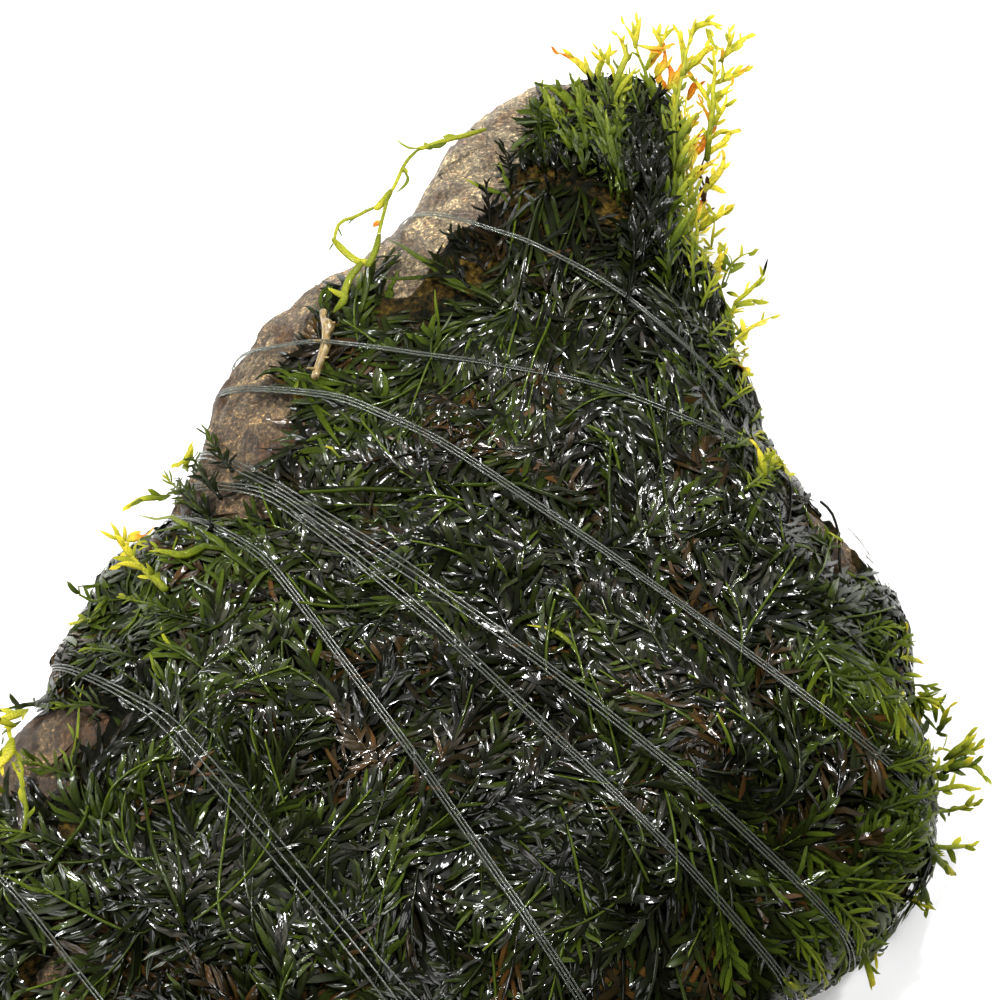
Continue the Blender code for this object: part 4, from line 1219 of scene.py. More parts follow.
def shootPath(azimuth, latitude, tip, count):
    # Quadratic curve from the root, along the surface's outward direction, to the tip, and the
    # direction that the flat of the shoot faces.
    azimuth, latitude = np.radians([azimuth]), np.radians([latitude])
    mossy = latitude[0] > matEdge(azimuth)[0]
    point, normal = matSurface(azimuth, latitude) if mossy else stoneSurface(azimuth, latitude)
    root = point[0] + normal[0] * 0.3
    tip = np.array(tip, float)
    bow = root + normal[0] * np.linalg.norm(tip - root) * 0.4
    t = np.linspace(0, 1, count)[:, None]
    path = (1 - t) ** 2 * root + 2 * t * (1 - t) * bow + t**2 * tip
    side = unit(np.cross(tip - root, normal[0]))
    return path, unit(np.cross(side, unit(np.gradient(path, axis=0))))


# Form, width in pixels, tone at root and tip, height above the ground at root and tip in mm,
# and x and y of each pixel of the photograph that it runs through, root first.
traced = {
    "tip_shoot_1": [
        ("leaf", 8, 0.8, 0.99, 15, 17, 599, 84, 587, 71, 574, 59, 559, 53),
        ("leaf", 15, 0.66, 0.72, 15, 17, 592, 175, 580, 160, 561, 126, 547, 94),
        ("leaf", 13, 0.67, 0.7, 15, 17, 583, 132, 577, 112, 560, 92, 539, 84),
        ("stem", 5, 0.6, 0.66, 15, 17, 602, 248, 602, 227, 596, 201, 591, 172, 583, 132, 580, 82),
        ("leaf", 9, 0.64, 0.7, 16, 17, 587, 150, 583, 117, 574, 80),
    ],
    "tip_shoot_2": [
        ("leaf", 7, 0.8, 0.88, 14, 16, 600, 86, 598, 71, 603, 58, 597, 49),
        ("leaf", 5, 0.86, 0.9, 15, 16, 603, 60, 609, 51, 610, 42),
        ("leaf", 5, 0.86, 0.95, 15, 16, 604, 56, 610, 54, 618, 50),
        ("leaf", 4, 0.86, 0.9, 15, 16, 599, 60, 596, 56, 590, 50),
        ("leaf", 4, 0.84, 0.88, 15, 16, 614, 79, 612, 68, 603, 60),
        ("leaf", 12, 0.62, 0.7, 14, 15, 616, 205, 609, 160, 604, 120, 600, 92),
        ("leaf", 10, 0.6, 0.66, 14, 15, 612, 150, 603, 125, 590, 98),
    ],
    "tip_shoot_3": [
        ("stem", 5, 0.62, 0.72, 14, 15, 622, 214, 618, 176, 616, 148, 618, 112, 613, 92),
        ("leaf", 7, 0.72, 0.88, 14, 15, 613, 96, 618, 76, 625, 60, 626, 51, 616, 32),
        ("leaf", 6, 0.76, 0.84, 14, 15, 613, 104, 622, 86, 632, 74, 637, 66),
        ("leaf", 8, 0.66, 0.8, 14, 15, 620, 128, 622, 104, 628, 84),
        ("leaf", 9, 0.6, 0.7, 14, 15, 618, 170, 610, 140, 606, 112),
    ],
    "tip_shoot_4": [
        ("stem", 5, 0.66, 0.8, 16, 17, 657, 106, 650, 88, 644, 68, 639, 57, 636, 45),
        ("leaf", 8, 0.86, 0.91, 17, 18, 635, 48, 636, 33, 641, 17),
        ("leaf", 4, 0.84, 0.9, 17, 18, 636, 46, 631, 34, 624, 24),
        ("leaf", 5, 0.88, 1.0, 16, 17, 637, 45, 652, 48, 672, 48),
        ("leaf", 7, 0.96, 0.99, 16, 16, 649, 68, 655, 56, 662, 49),
        ("leaf", 5, 0.86, 0.92, 16, 17, 648, 64, 656, 52, 663, 40, 666, 29),
        ("leaf", 5, 0.86, 0.88, 16, 17, 662, 47, 659, 39, 652, 26),
        ("leaf", 6, 0.9, 0.98, 15, 16, 655, 76, 664, 66, 665, 48),
    ],
    "tip_shoot_5": [
        ("leaf", 7, 0.8, 0.9, 11, 13, 685, 78, 684, 56, 681, 40, 675, 25),
        ("leaf", 5, 0.86, 0.78, 13, 12, 676, 27, 668, 33, 661, 44),
        ("leaf", 9, 0.92, 1.0, 11, 12, 668, 92, 672, 76, 668, 62),
        ("leaf", 8, 0.86, 0.98, 11, 12, 676, 98, 676, 80, 684, 62),
        ("leaf", 9, 0.92, 1.0, 10, 11, 664, 90, 658, 74, 664, 66),
    ],
    "tip_shoot_6": [
        ("stem", 5, 0.6, 0.84, 13, 16, 668, 283, 668, 230, 675, 172, 673, 125, 678, 95, 684, 71, 687, 49,
         691, 34, 695, 21),
        ("leaf", 7, 0.8, 0.9, 15, 16, 689, 42, 695, 28, 707, 23, 724, 26),
        ("leaf", 6, 0.84, 0.78, 15, 16, 706, 28, 711, 40, 716, 48),
        ("leaf", 9, 0.82, 0.9, 14, 16, 684, 74, 695, 61, 706, 51, 719, 46),
        ("leaf", 10, 0.66, 0.82, 13, 14, 676, 150, 684, 130, 697, 112),
        ("leaf", 9, 0.68, 0.86, 13, 14, 674, 178, 684, 152, 698, 134),
        ("leaf", 9, 0.64, 0.8, 13, 14, 671, 215, 682, 190, 692, 176),
        ("leaf", 10, 0.6, 0.74, 13, 14, 669, 250, 682, 226, 694, 208),
        ("leaf", 7, 0.64, 0.72, 13, 14, 674, 150, 667, 132, 662, 112),
        ("leaf", 7, 0.6, 0.7, 13, 14, 670, 205, 662, 184, 660, 160),
    ],
    "tip_shoot_7": [
        ("stem", 6, 0.76, 0.86, 11, 14, 707, 160, 710, 128, 714, 102, 713, 88, 715, 71, 713, 50),
        ("leaf", 5, 0.82, 0.88, 13, 14, 718, 62, 727, 52, 730, 40, 728, 25),
        ("leaf", 4, 0.84, 0.88, 13, 14, 728, 48, 732, 38, 735, 30),
        ("leaf", 7, 0.84, 0.9, 13, 14, 720, 60, 733, 48, 743, 40, 753, 32),
        ("leaf", 4, 0.82, 0.84, 13, 13, 720, 84, 723, 74, 722, 60),
        ("leaf", 5, 0.82, 0.86, 12, 13, 713, 74, 707, 68, 700, 63),
    ],
    "tip_shoot_8": [
        ("leaf", 7, 0.82, 0.97, 12, 14, 711, 85, 727, 78, 742, 72, 750, 64),
        ("leaf", 7, 0.84, 0.9, 12, 13, 713, 106, 721, 95, 731, 84),
        ("leaf", 6, 0.8, 0.9, 11, 13, 707, 136, 714, 122, 725, 105, 727, 92),
        ("leaf", 6, 0.84, 0.94, 11, 12, 712, 106, 702, 90, 692, 76),
        ("leaf", 9, 1.0, 0.97, 11, 12, 688, 100, 693, 88, 697, 78),
        ("leaf", 6, 1.0, 0.92, 10, 12, 680, 176, 690, 160, 705, 142, 712, 126, 706, 112, 697, 94),
    ],
    "tip_shoot_9": [
        ("leaf", 5, 0.82, 0.88, 11, 12, 710, 140, 721, 131, 732, 131),
        ("leaf", 6, 0.86, 0.9, 11, 12, 705, 158, 714, 149, 727, 140, 732, 131),
        ("leaf", 8, 0.84, 0.9, 10, 11, 698, 198, 710, 183, 722, 168, 724, 153),
        ("leaf", 5, 0.86, 0.92, 10, 11, 694, 175, 706, 166, 717, 158),
        ("stem", 3, 0.02, 0.0, 9, 11, 696, 226, 703, 206, 706, 190, 700, 175, 705, 156),
        ("leaf", 8, 0.8, 0.92, 10, 11, 682, 190, 692, 180, 704, 170),
        ("leaf", 10, 0.84, 0.96, 9, 10, 684, 140, 690, 124, 700, 116),
        ("leaf", 9, 0.9, 0.99, 9, 10, 680, 160, 688, 146, 700, 138),
    ],
    "tip_shoot_10": [
        ("leaf", 7, 0.82, 0.9, 9, 11, 694, 234, 707, 223, 720, 215, 731, 208),
        ("leaf", 3, 0.8, 0.84, 10, 11, 703, 202, 709, 206, 713, 216),
        ("leaf", 3, 0.8, 0.84, 9, 11, 711, 250, 713, 234, 715, 219),
        ("leaf", 6, 0.9, 0.98, 9, 10, 694, 220, 698, 208, 703, 198),
        ("leaf", 8, 0.72, 0.84, 9, 10, 684, 236, 694, 220, 701, 214),
    ],
    "neck_shoot_1": [
        ("leaf", 3, 0.7, 0.8, 10, 13, 724, 292, 724, 278, 730, 266, 741, 256, 755, 251),
        ("leaf", 6, 0.84, 0.9, 9, 11, 711, 272, 718, 262, 722, 250),
        ("leaf", 6, 0.86, 0.97, 9, 11, 713, 290, 717, 276, 724, 262),
        ("leaf", 2, 0.7, 0.74, 10, 12, 724, 288, 731, 268, 731, 258, 724, 250),
        ("leaf", 5, 0.8, 0.84, 9, 11, 704, 246, 712, 258, 718, 270),
    ],
    "neck_shoot_2": [
        ("leaf", 5, 0.84, 0.8, 11, 14, 733, 318, 734, 304, 747, 293, 762, 277, 767, 266),
        ("leaf", 3, 0.8, 0.1, 13, 14, 763, 275, 768, 258),
        ("leaf", 4, 0.84, 0.8, 12, 13, 740, 302, 752, 300, 760, 302, 763, 296),
        ("leaf", 5, 0.76, 0.84, 11, 12, 727, 292, 733, 294, 739, 297),
        ("stem", 4, 0.66, 0.76, 10, 12, 734, 345, 731, 322, 726, 300, 722, 282),
    ],
    "neck_shoot_3": [
        ("leaf", 4, 0.84, 0.88, 10, 12, 730, 345, 742, 334, 757, 324, 774, 316),
        ("leaf", 3, 0.8, 0.78, 10, 11, 732, 320, 738, 330, 739, 343),
        ("leaf", 6, 0.82, 0.88, 10, 11, 727, 330, 730, 320, 734, 308),
        ("leaf", 5, 0.72, 0.8, 9, 11, 728, 356, 732, 351, 739, 346),
        ("leaf", 7, 0.9, 0.88, 9, 11, 727, 363, 736, 366, 748, 366),
        ("leaf", 4, 0.8, 0.84, 9, 11, 739, 388, 744, 372, 745, 349),
        ("leaf", 6, 0.88, 0.92, 10, 11, 743, 364, 748, 370, 748, 375),
    ],
    "neck_shoot_4": [
        ("leaf", 8, 0.84, 0.89, 9, 11, 787, 488, 785, 472, 779, 458, 773, 444),
        ("leaf", 4, 0.76, 0.8, 9, 11, 784, 472, 781, 462, 777, 455),
        ("leaf", 9, 0.74, 0.87, 9, 10, 760, 482, 764, 466, 768, 450),
        ("leaf", 7, 0.78, 0.88, 9, 10, 766, 476, 762, 460, 757, 446),
        ("leaf", 6, 0.7, 0.8, 9, 10, 772, 484, 768, 470, 776, 456),
        ("leaf", 4, 0.66, 0.76, 9, 11, 748, 424, 756, 418, 763, 406),
        ("leaf", 4, 0.66, 0.72, 9, 11, 745, 436, 750, 432, 756, 428),
    ],
    "side_shoot_1": [
        ("leaf", 9, 0.8, 0.97, 8, 9, 909, 672, 908, 656, 912, 640, 907, 630),
        ("leaf", 6, 0.7, 0.84, 8, 9, 889, 646, 900, 642, 917, 641),
        ("leaf", 6, 0.8, 0.88, 8, 10, 898, 659, 912, 658, 924, 664),
        ("leaf", 6, 0.76, 0.86, 8, 9, 905, 674, 914, 675, 923, 677),
        ("leaf", 4, 0.7, 0.78, 8, 9, 914, 684, 924, 686, 934, 687),
        ("leaf", 8, 0.72, 0.93, 7, 8, 936, 722, 934, 704, 925, 690),
        ("stem", 6, 0.64, 0.74, 9, 9, 823, 676, 860, 680, 876, 673, 884, 662, 889, 651, 906, 641),
        ("leaf", 12, 0.66, 0.68, 9, 9, 874, 668, 888, 672, 902, 678),
    ],
    "side_shoot_2": [
        ("leaf", 6, 0.66, 0.84, 8, 12, 937, 734, 942, 726, 945, 715, 951, 705),
        ("leaf", 5, 0.6, 0.72, 8, 9, 921, 712, 930, 722, 938, 732),
    ],
    "side_shoot_3": [
        ("stem", 5, 0.72, 0.84, 9, 11, 920, 778, 931, 772, 942, 768, 963, 755, 983, 746),
        ("leaf", 9, 0.72, 0.84, 9, 11, 944, 760, 956, 751, 967, 743, 977, 733),
        ("leaf", 8, 0.74, 0.8, 9, 11, 948, 757, 962, 746, 970, 735),
        ("leaf", 5, 0.74, 0.8, 9, 10, 931, 774, 938, 764, 939, 756),
    ],
    "side_shoot_4": [
        ("leaf", 8, 0.6, 0.78, 9, 12, 938, 778, 950, 768, 967, 764, 979, 769, 987, 783),
        ("leaf", 6, 0.78, 0.9, 10, 12, 964, 766, 970, 760, 974, 757),
        ("leaf", 5, 0.74, 0.84, 9, 11, 930, 789, 942, 789, 959, 786, 979, 789),
        ("leaf", 8, 0.56, 0.66, 9, 10, 936, 774, 944, 778, 949, 774),
    ],
    "side_shoot_5": [
        ("stem", 5, 0.7, 0.86, 7, 9, 910, 832, 921, 824, 936, 814, 952, 810, 977, 803),
        ("leaf", 7, 0.58, 0.74, 7, 8, 926, 800, 936, 804, 948, 811),
        ("leaf", 6, 0.6, 0.66, 7, 8, 915, 816, 924, 806, 932, 800),
    ],
    "side_shoot_6": [
        ("stem", 5, 0.8, 0.86, 8, 9, 936, 848, 954, 847, 975, 845),
        ("strap", 8, 0.66, 0.89, 7, 8, 928, 848, 937, 858, 953, 874),
        ("leaf", 8, 0.66, 0.72, 8, 8, 918, 862, 926, 850, 932, 838),
    ],
    "side_shoot_7": [
        ("leaf", 9, 0.64, 0.76, 6, 7, 922, 878, 923, 888, 927, 898, 928, 913),
        ("stem", 5, 0.64, 0.66, 7, 7, 924, 846, 924, 862, 922, 880),
        ("leaf", 7, 0.6, 0.66, 7, 7, 926, 862, 918, 870, 910, 878),
    ],
    "side_shoot_8": [
        ("strap", 9, 0.66, 0.9, 8, 9, 856, 948, 864, 955, 868, 966, 873, 985),
        ("leaf", 7, 0.6, 0.7, 8, 9, 858, 948, 868, 944, 877, 937),
        ("leaf", 3, 0.5, 0.6, 8, 8, 820, 972, 826, 974, 831, 980),
        ("leaf", 5, 0.76, 0.86, 8, 8, 779, 975, 788, 985, 801, 991, 812, 1000),
        ("leaf", 8, 0.76, 0.84, 8, 8, 812, 985, 798, 987, 786, 980),
    ],
    "left_shoot_1": [
        ("leaf", 6, 0.66, 0.88, 16, 17, 172, 496, 161, 497, 142, 499, 126, 506),
        ("leaf", 6, 0.74, 0.88, 15, 17, 190, 474, 186, 460, 192, 447),
        ("leaf", 5, 0.76, 0.88, 15, 17, 189, 468, 183, 462, 177, 466),
    ],
    "left_shoot_2": [
        ("stem", 7, 0.78, 0.89, 14, 16, 168, 592, 152, 576, 138, 563, 129, 550, 119, 536),
        ("leaf", 4, 0.86, 0.88, 15, 16, 119, 540, 110, 536, 99, 530),
        ("leaf", 4, 0.86, 0.88, 15, 16, 120, 538, 117, 532, 110, 522),
        ("leaf", 4, 0.86, 0.88, 15, 16, 124, 542, 125, 534, 124, 525),
        ("leaf", 8, 0.89, 1.0, 15, 15, 126, 540, 134, 538, 146, 534),
        ("leaf", 6, 0.84, 0.88, 14, 15, 144, 570, 131, 564, 117, 564),
        ("leaf", 5, 0.7, 0.8, 14, 15, 155, 578, 150, 569, 146, 563),
        ("leaf", 7, 0.84, 0.9, 15, 16, 134, 560, 126, 548, 117, 541),
    ],
    "left_shoot_3": [
        ("leaf", 3, 0.66, 0.62, 14, 15, 128, 601, 101, 602, 87, 599, 78, 593, 78, 587, 86, 585, 98, 587),
        ("leaf", 5, 0.66, 0.72, 13, 14, 108, 598, 101, 604, 94, 611),
    ],
    "left_shoot_4": [
        ("leaf", 6, 0.74, 0.84, 13, 14, 103, 617, 96, 621, 85, 622, 67, 624),
        ("leaf", 5, 0.62, 0.7, 12, 13, 112, 606, 104, 610, 94, 618),
    ],
    "left_shoot_5": [
        ("leaf", 5, 0.46, 0.56, 14, 14, 60, 701, 42, 702, 28, 704, 2, 710),
        ("leaf", 9, 0.8, 0.88, 14, 14, 30, 710, 14, 715, -6, 722),
        ("leaf", 5, 0.62, 0.7, 14, 14, 24, 722, 12, 729, 2, 734),
    ],
    "left_shoot_6": [
        ("leaf", 13, 0.82, 0.87, 21, 22, 12, 738, 8, 752, -2, 768),
        ("stem", 5, 0.76, 0.8, 20, 21, 25, 834, 26, 808, 21, 780, 22, 766, 14, 750, 9, 734),
        ("leaf", 6, 0.8, 0.86, 21, 23, 16, 726, 4, 722, -10, 720),
    ],
    "left_shoot_7": [
        ("leaf", 7, 0.76, 0.86, 19, 22, 4, 792, -10, 780, -22, 770, -36, 760),
        ("leaf", 6, 0.7, 0.8, 19, 21, 0, 800, -14, 798, -28, 790),
        ("leaf", 6, 0.7, 0.82, 19, 21, -2, 780, -8, 766, -20, 754),
    ],
    "stray_runner": [
        ("strap", 6, 0.8, 0.78, 15, 17, 486, 129, 466, 135, 454, 138, 443, 141, 429, 146, 418, 149),
        ("strap", 4, 0.78, 0.8, 17, 18.2, 420, 148, 410, 157, 403, 167, 399, 176, 394, 187, 389, 194),
        ("strap", 7, 0.79, 0.82, 18.2, 19, 391, 190, 386, 198, 381, 204, 376, 209),
        ("strap", 4, 0.8, 0.78, 19, 19.4, 380, 205, 364, 212, 355, 217, 342, 221, 337, 228, 334, 240),
        ("strap", 8, 0.82, 0.8, 19.4, 20.4, 333, 239, 342, 249, 351, 257, 360, 262, 370, 262),
        ("leaf", 3, 0.8, 0.74, 17, 17, 420, 148, 410, 148, 402, 144, 395, 138),
        ("leaf", 6, 0.74, 0.76, 16.5, 16.5, 460, 139, 450, 136, 442, 137),
        ("leaf", 6, 0.72, 0.66, 16.5, 17, 446, 143, 438, 146, 428, 147),
        ("leaf", 7, 0.7, 0.74, 17, 17, 432, 149, 427, 146, 424, 142),
        ("leaf", 6, 0.76, 0.8, 18, 18, 400, 172, 405, 170, 407, 175),
        ("leaf", 4, 0.74, 0.7, 18, 18.4, 404, 171, 408, 178, 405, 185, 396, 193),
        ("leaf", 7, 0.86, 0.92, 18.8, 19, 384, 200, 380, 204, 378, 206),
        ("leaf", 2, 0.66, 0.6, 19, 19, 338, 227, 340, 232, 343, 238),
        ("leaf", 2, 0.66, 0.6, 19, 19, 334, 242, 331, 247, 328, 252),
        ("leaf", 2, 0.66, 0.6, 19, 19, 356, 217, 351, 221, 347, 226),
        ("leaf", 2, 0.3, 0.2, 16, 16, 478, 131, 474, 130, 470, 129),
        ("leaf", 2, 0.66, 0.6, 19, 19, 370, 209, 366, 210, 364, 208),
        ("strap", 8, 0.78, 0.74, 20.2, 20.4, 362, 262, 358, 268, 351, 276, 345, 290, 344, 300),
        ("leaf", 9, 0.74, 0.8, 20.2, 20.6, 334, 312, 345, 298, 337, 293, 328, 288),
    ],
    "stray_runner_fork": [
        ("strap", 4, 0.78, 0.76, 19.2, 20, 389, 194, 386, 205, 383, 216, 380, 228, 378, 238),
        ("strap", 7, 0.76, 0.72, 20, 20.6, 379, 234, 377, 245, 373, 256, 368, 266),
        ("leaf", 6, 0.97, 1.0, 19.6, 19.8, 381, 222, 377, 223, 373, 227),
        ("leaf", 8, 0.6, 0.56, 20, 20, 368, 262, 366, 288, 361, 312),
    ],
    "moss_mat": [
        ("leaf", 13, 0.64, 0.68, 9, 9, 499, 305, 479, 292, 459, 286, 444, 277, 431, 267, 415, 258, 400,
         245, 386, 242),
        ("leaf", 9, 0.64, 0.62, 9, 9, 447, 281, 434, 279, 415, 281, 396, 282, 376, 281),
        ("leaf", 5, 0.7, 0.74, 9, 9, 440, 332, 436, 308, 435, 292),
        ("leaf", 5, 0.72, 0.74, 9, 9, 445, 277, 448, 273, 453, 270),
        ("leaf", 10, 0.7, 0.8, 9, 9, 508, 199, 500, 195, 480, 189, 465, 182),
        ("leaf", 8, 0.64, 0.74, 9, 9, 514, 198, 506, 182, 499, 165),
        ("leaf", 6, 0.54, 0.58, 9, 9, 371, 262, 386, 260, 402, 259),
        ("leaf", 6, 0.6, 0.66, 9, 9, 439, 284, 452, 288, 470, 296),
        ("stem", 4, 0.6, 0.64, 9, 9, 559, 256, 552, 228, 546, 201, 545, 168, 545, 134),
        ("leaf", 11, 0.66, 0.8, 9, 9, 258, 578, 243, 565, 226, 552, 214, 539, 192, 531, 177, 519, 163,
         517, 148, 519, 138, 515),
        ("leaf", 12, 0.7, 0.84, 9, 9, 224, 550, 204, 546, 192, 553, 177, 555, 163, 551, 149, 551),
        ("leaf", 4, 0.66, 0.72, 9, 9, 192, 531, 186, 530, 169, 532, 151, 536),
        ("leaf", 11, 0.62, 0.66, 9, 9, 244, 610, 252, 592, 262, 578, 274, 570),
        ("stem", 4, 0.6, 0.64, 9, 9, 199, 636, 220, 628, 240, 612, 246, 606),
        ("leaf", 4, 0.6, 0.62, 9, 9, 246, 610, 266, 606, 288, 604),
        ("leaf", 5, 0.66, 0.74, 9, 9, 171, 610, 160, 614, 148, 622, 143, 616, 128, 632),
        ("leaf", 5, 0.6, 0.66, 9, 9, 182, 596, 180, 608, 170, 620),
        ("leaf", 5, 0.74, 0.8, 9, 9, 70, 784, 72, 764, 74, 746, 76, 725, 80, 706, 86, 686),
        ("leaf", 6, 0.74, 0.76, 9, 9, 70, 770, 66, 757, 57, 747),
        ("leaf", 5, 0.74, 0.78, 9, 9, 74, 740, 72, 731, 67, 723),
        ("leaf", 9, 0.6, 0.64, 9, 9, 76, 681, 88, 674, 94, 670, 100, 659),
        ("leaf", 7, 0.66, 0.7, 9, 9, 85, 885, 74, 892, 56, 894, 33, 890, 13, 879, 0, 876),
        ("leaf", 12, 0.6, 0.64, 9, 9, 104, 820, 110, 804, 113, 785),
        ("stem", 6, 0.6, 0.66, 9, 9, 48, 873, 65, 849, 84, 825, 89, 808),
        ("stem", 5, 0.62, 0.6, 9, 9, 184, 924, 166, 880, 153, 845, 138, 758),
        ("stem", 4, 0.6, 0.64, 9, 9, 184, 906, 176, 837, 158, 766),
        ("leaf", 6, 0.74, 0.84, 9, 9, 580, 661, 573, 649, 564, 639, 550, 631, 527, 627),
        ("leaf", 6, 0.66, 0.72, 9, 9, 478, 638, 470, 628, 457, 608, 441, 586),
        ("stem", 7, 0.58, 0.64, 9, 9, 576, 511, 565, 503, 543, 495, 518, 486, 484, 487, 451, 487, 420, 491),
        ("stem", 6, 0.6, 0.64, 9, 9, 424, 491, 407, 491, 364, 489, 330, 491, 300, 492),
        ("stem", 5, 0.6, 0.64, 9, 9, 452, 478, 462, 463, 478, 440, 489, 432, 497, 418, 512, 400),
        ("leaf", 5, 0.06, 0.1, 9, 9, 466, 436, 452, 431, 438, 429, 420, 431),
        ("leaf", 8, 0.64, 0.7, 9, 9, 507, 576, 498, 565, 490, 556),
        ("leaf", 6, 0.66, 0.72, 9, 9, 507, 576, 494, 566, 470, 564),
        ("stem", 4, 0.58, 0.62, 9, 9, 678, 563, 667, 515, 660, 464, 652, 425),
        ("stem", 4, 0.58, 0.62, 9, 9, 611, 540, 609, 500, 609, 470, 611, 440),
        ("stem", 4, 0.56, 0.62, 9, 9, 668, 400, 662, 450, 650, 410, 646, 380),
        ("stem", 5, 0.6, 0.66, 9, 9, 348, 610, 325, 594, 300, 579),
        ("stem", 5, 0.6, 0.66, 9, 9, 422, 610, 389, 605, 338, 609, 300, 604),
        ("leaf", 7, 0.06, 0.02, 9, 9, 738, 802, 742, 790, 744, 776),
        ("stem", 4, 0.7, 0.76, 9, 9, 734, 756, 728, 736, 718, 716),
        ("leaf", 9, 0.62, 0.68, 9, 9, 257, 383, 270, 374, 285, 375, 300, 388),
        ("leaf", 11, 0.62, 0.68, 9, 9, 300, 384, 314, 406, 328, 430, 341, 449),
        ("leaf", 8, 0.62, 0.66, 9, 9, 329, 434, 318, 437, 306, 441),
        ("leaf", 7, 0.66, 0.86, 9, 9, 352, 466, 340, 458, 333, 451, 324, 449),
        ("leaf", 8, 0.58, 0.62, 9, 9, 341, 449, 352, 436, 349, 420, 338, 410),
        ("leaf", 7, 0.66, 0.74, 9, 9, 300, 365, 304, 385, 312, 404, 324, 423),
        ("leaf", 7, 0.72, 0.66, 9, 9, 304, 372, 312, 384, 330, 392, 346, 398),
        ("leaf", 6, 0.8, 0.74, 9, 9, 302, 380, 296, 392, 298, 408),
        ("leaf", 6, 0.62, 0.7, 9, 9, 306, 396, 318, 410, 334, 420),
        ("leaf", 6, 0.8, 0.84, 9, 9, 846, 545, 834, 540, 826, 534),
        ("leaf", 8, 0.62, 0.66, 9, 9, 768, 566, 784, 550, 800, 548, 822, 556),
        ("leaf", 9, 0.6, 0.68, 9, 9, 744, 538, 752, 516, 762, 496, 768, 484),
        ("leaf", 8, 0.62, 0.7, 9, 9, 880, 600, 868, 584, 856, 574, 840, 564),
    ],
}


def lengthOf(paths):
    # Sum of the steps of each path.
    return np.linalg.norm(np.diff(paths, axis=1), axis=2).sum(1)


def leafletsOn(paths, normals, toneRows, length, pitch, opening, width, roll=14.0):
    # Small leaves along both sides of each path, in the tones of the path itself.
    return leafMesh(growLeaves(paths, normals, {
        "length": lengthOf(paths), "pitch": pitch,
        "leafLength": length, "leafWidth": width, "opening": opening, "tone": toneRows[:, 0],
        "tipTone": toneRows[:, -1], "toneSpread": 0.03, "stray": 0.17, "roll": roll}), False)


for node, rows in traced.items():
    blades, paths, normals, toneRows = bladesMesh(rows)
    parts = [blades]
    long = lengthOf(paths) > bladeForm["bareLength"]
    if "shoot" in node and long.any():
        parts.append(leafletsOn(paths[long], normals[long], toneRows[long], *bladeForm["leaflets"]))
    name, slotName = f"{node}_blades", "fresh_shoots"
    if node == "moss_mat":
        name, slotName = "sprigs_on_mat", "wet_moss"
    addPiece(name, stackMeshes(parts), freshLeaf, slotName, node)

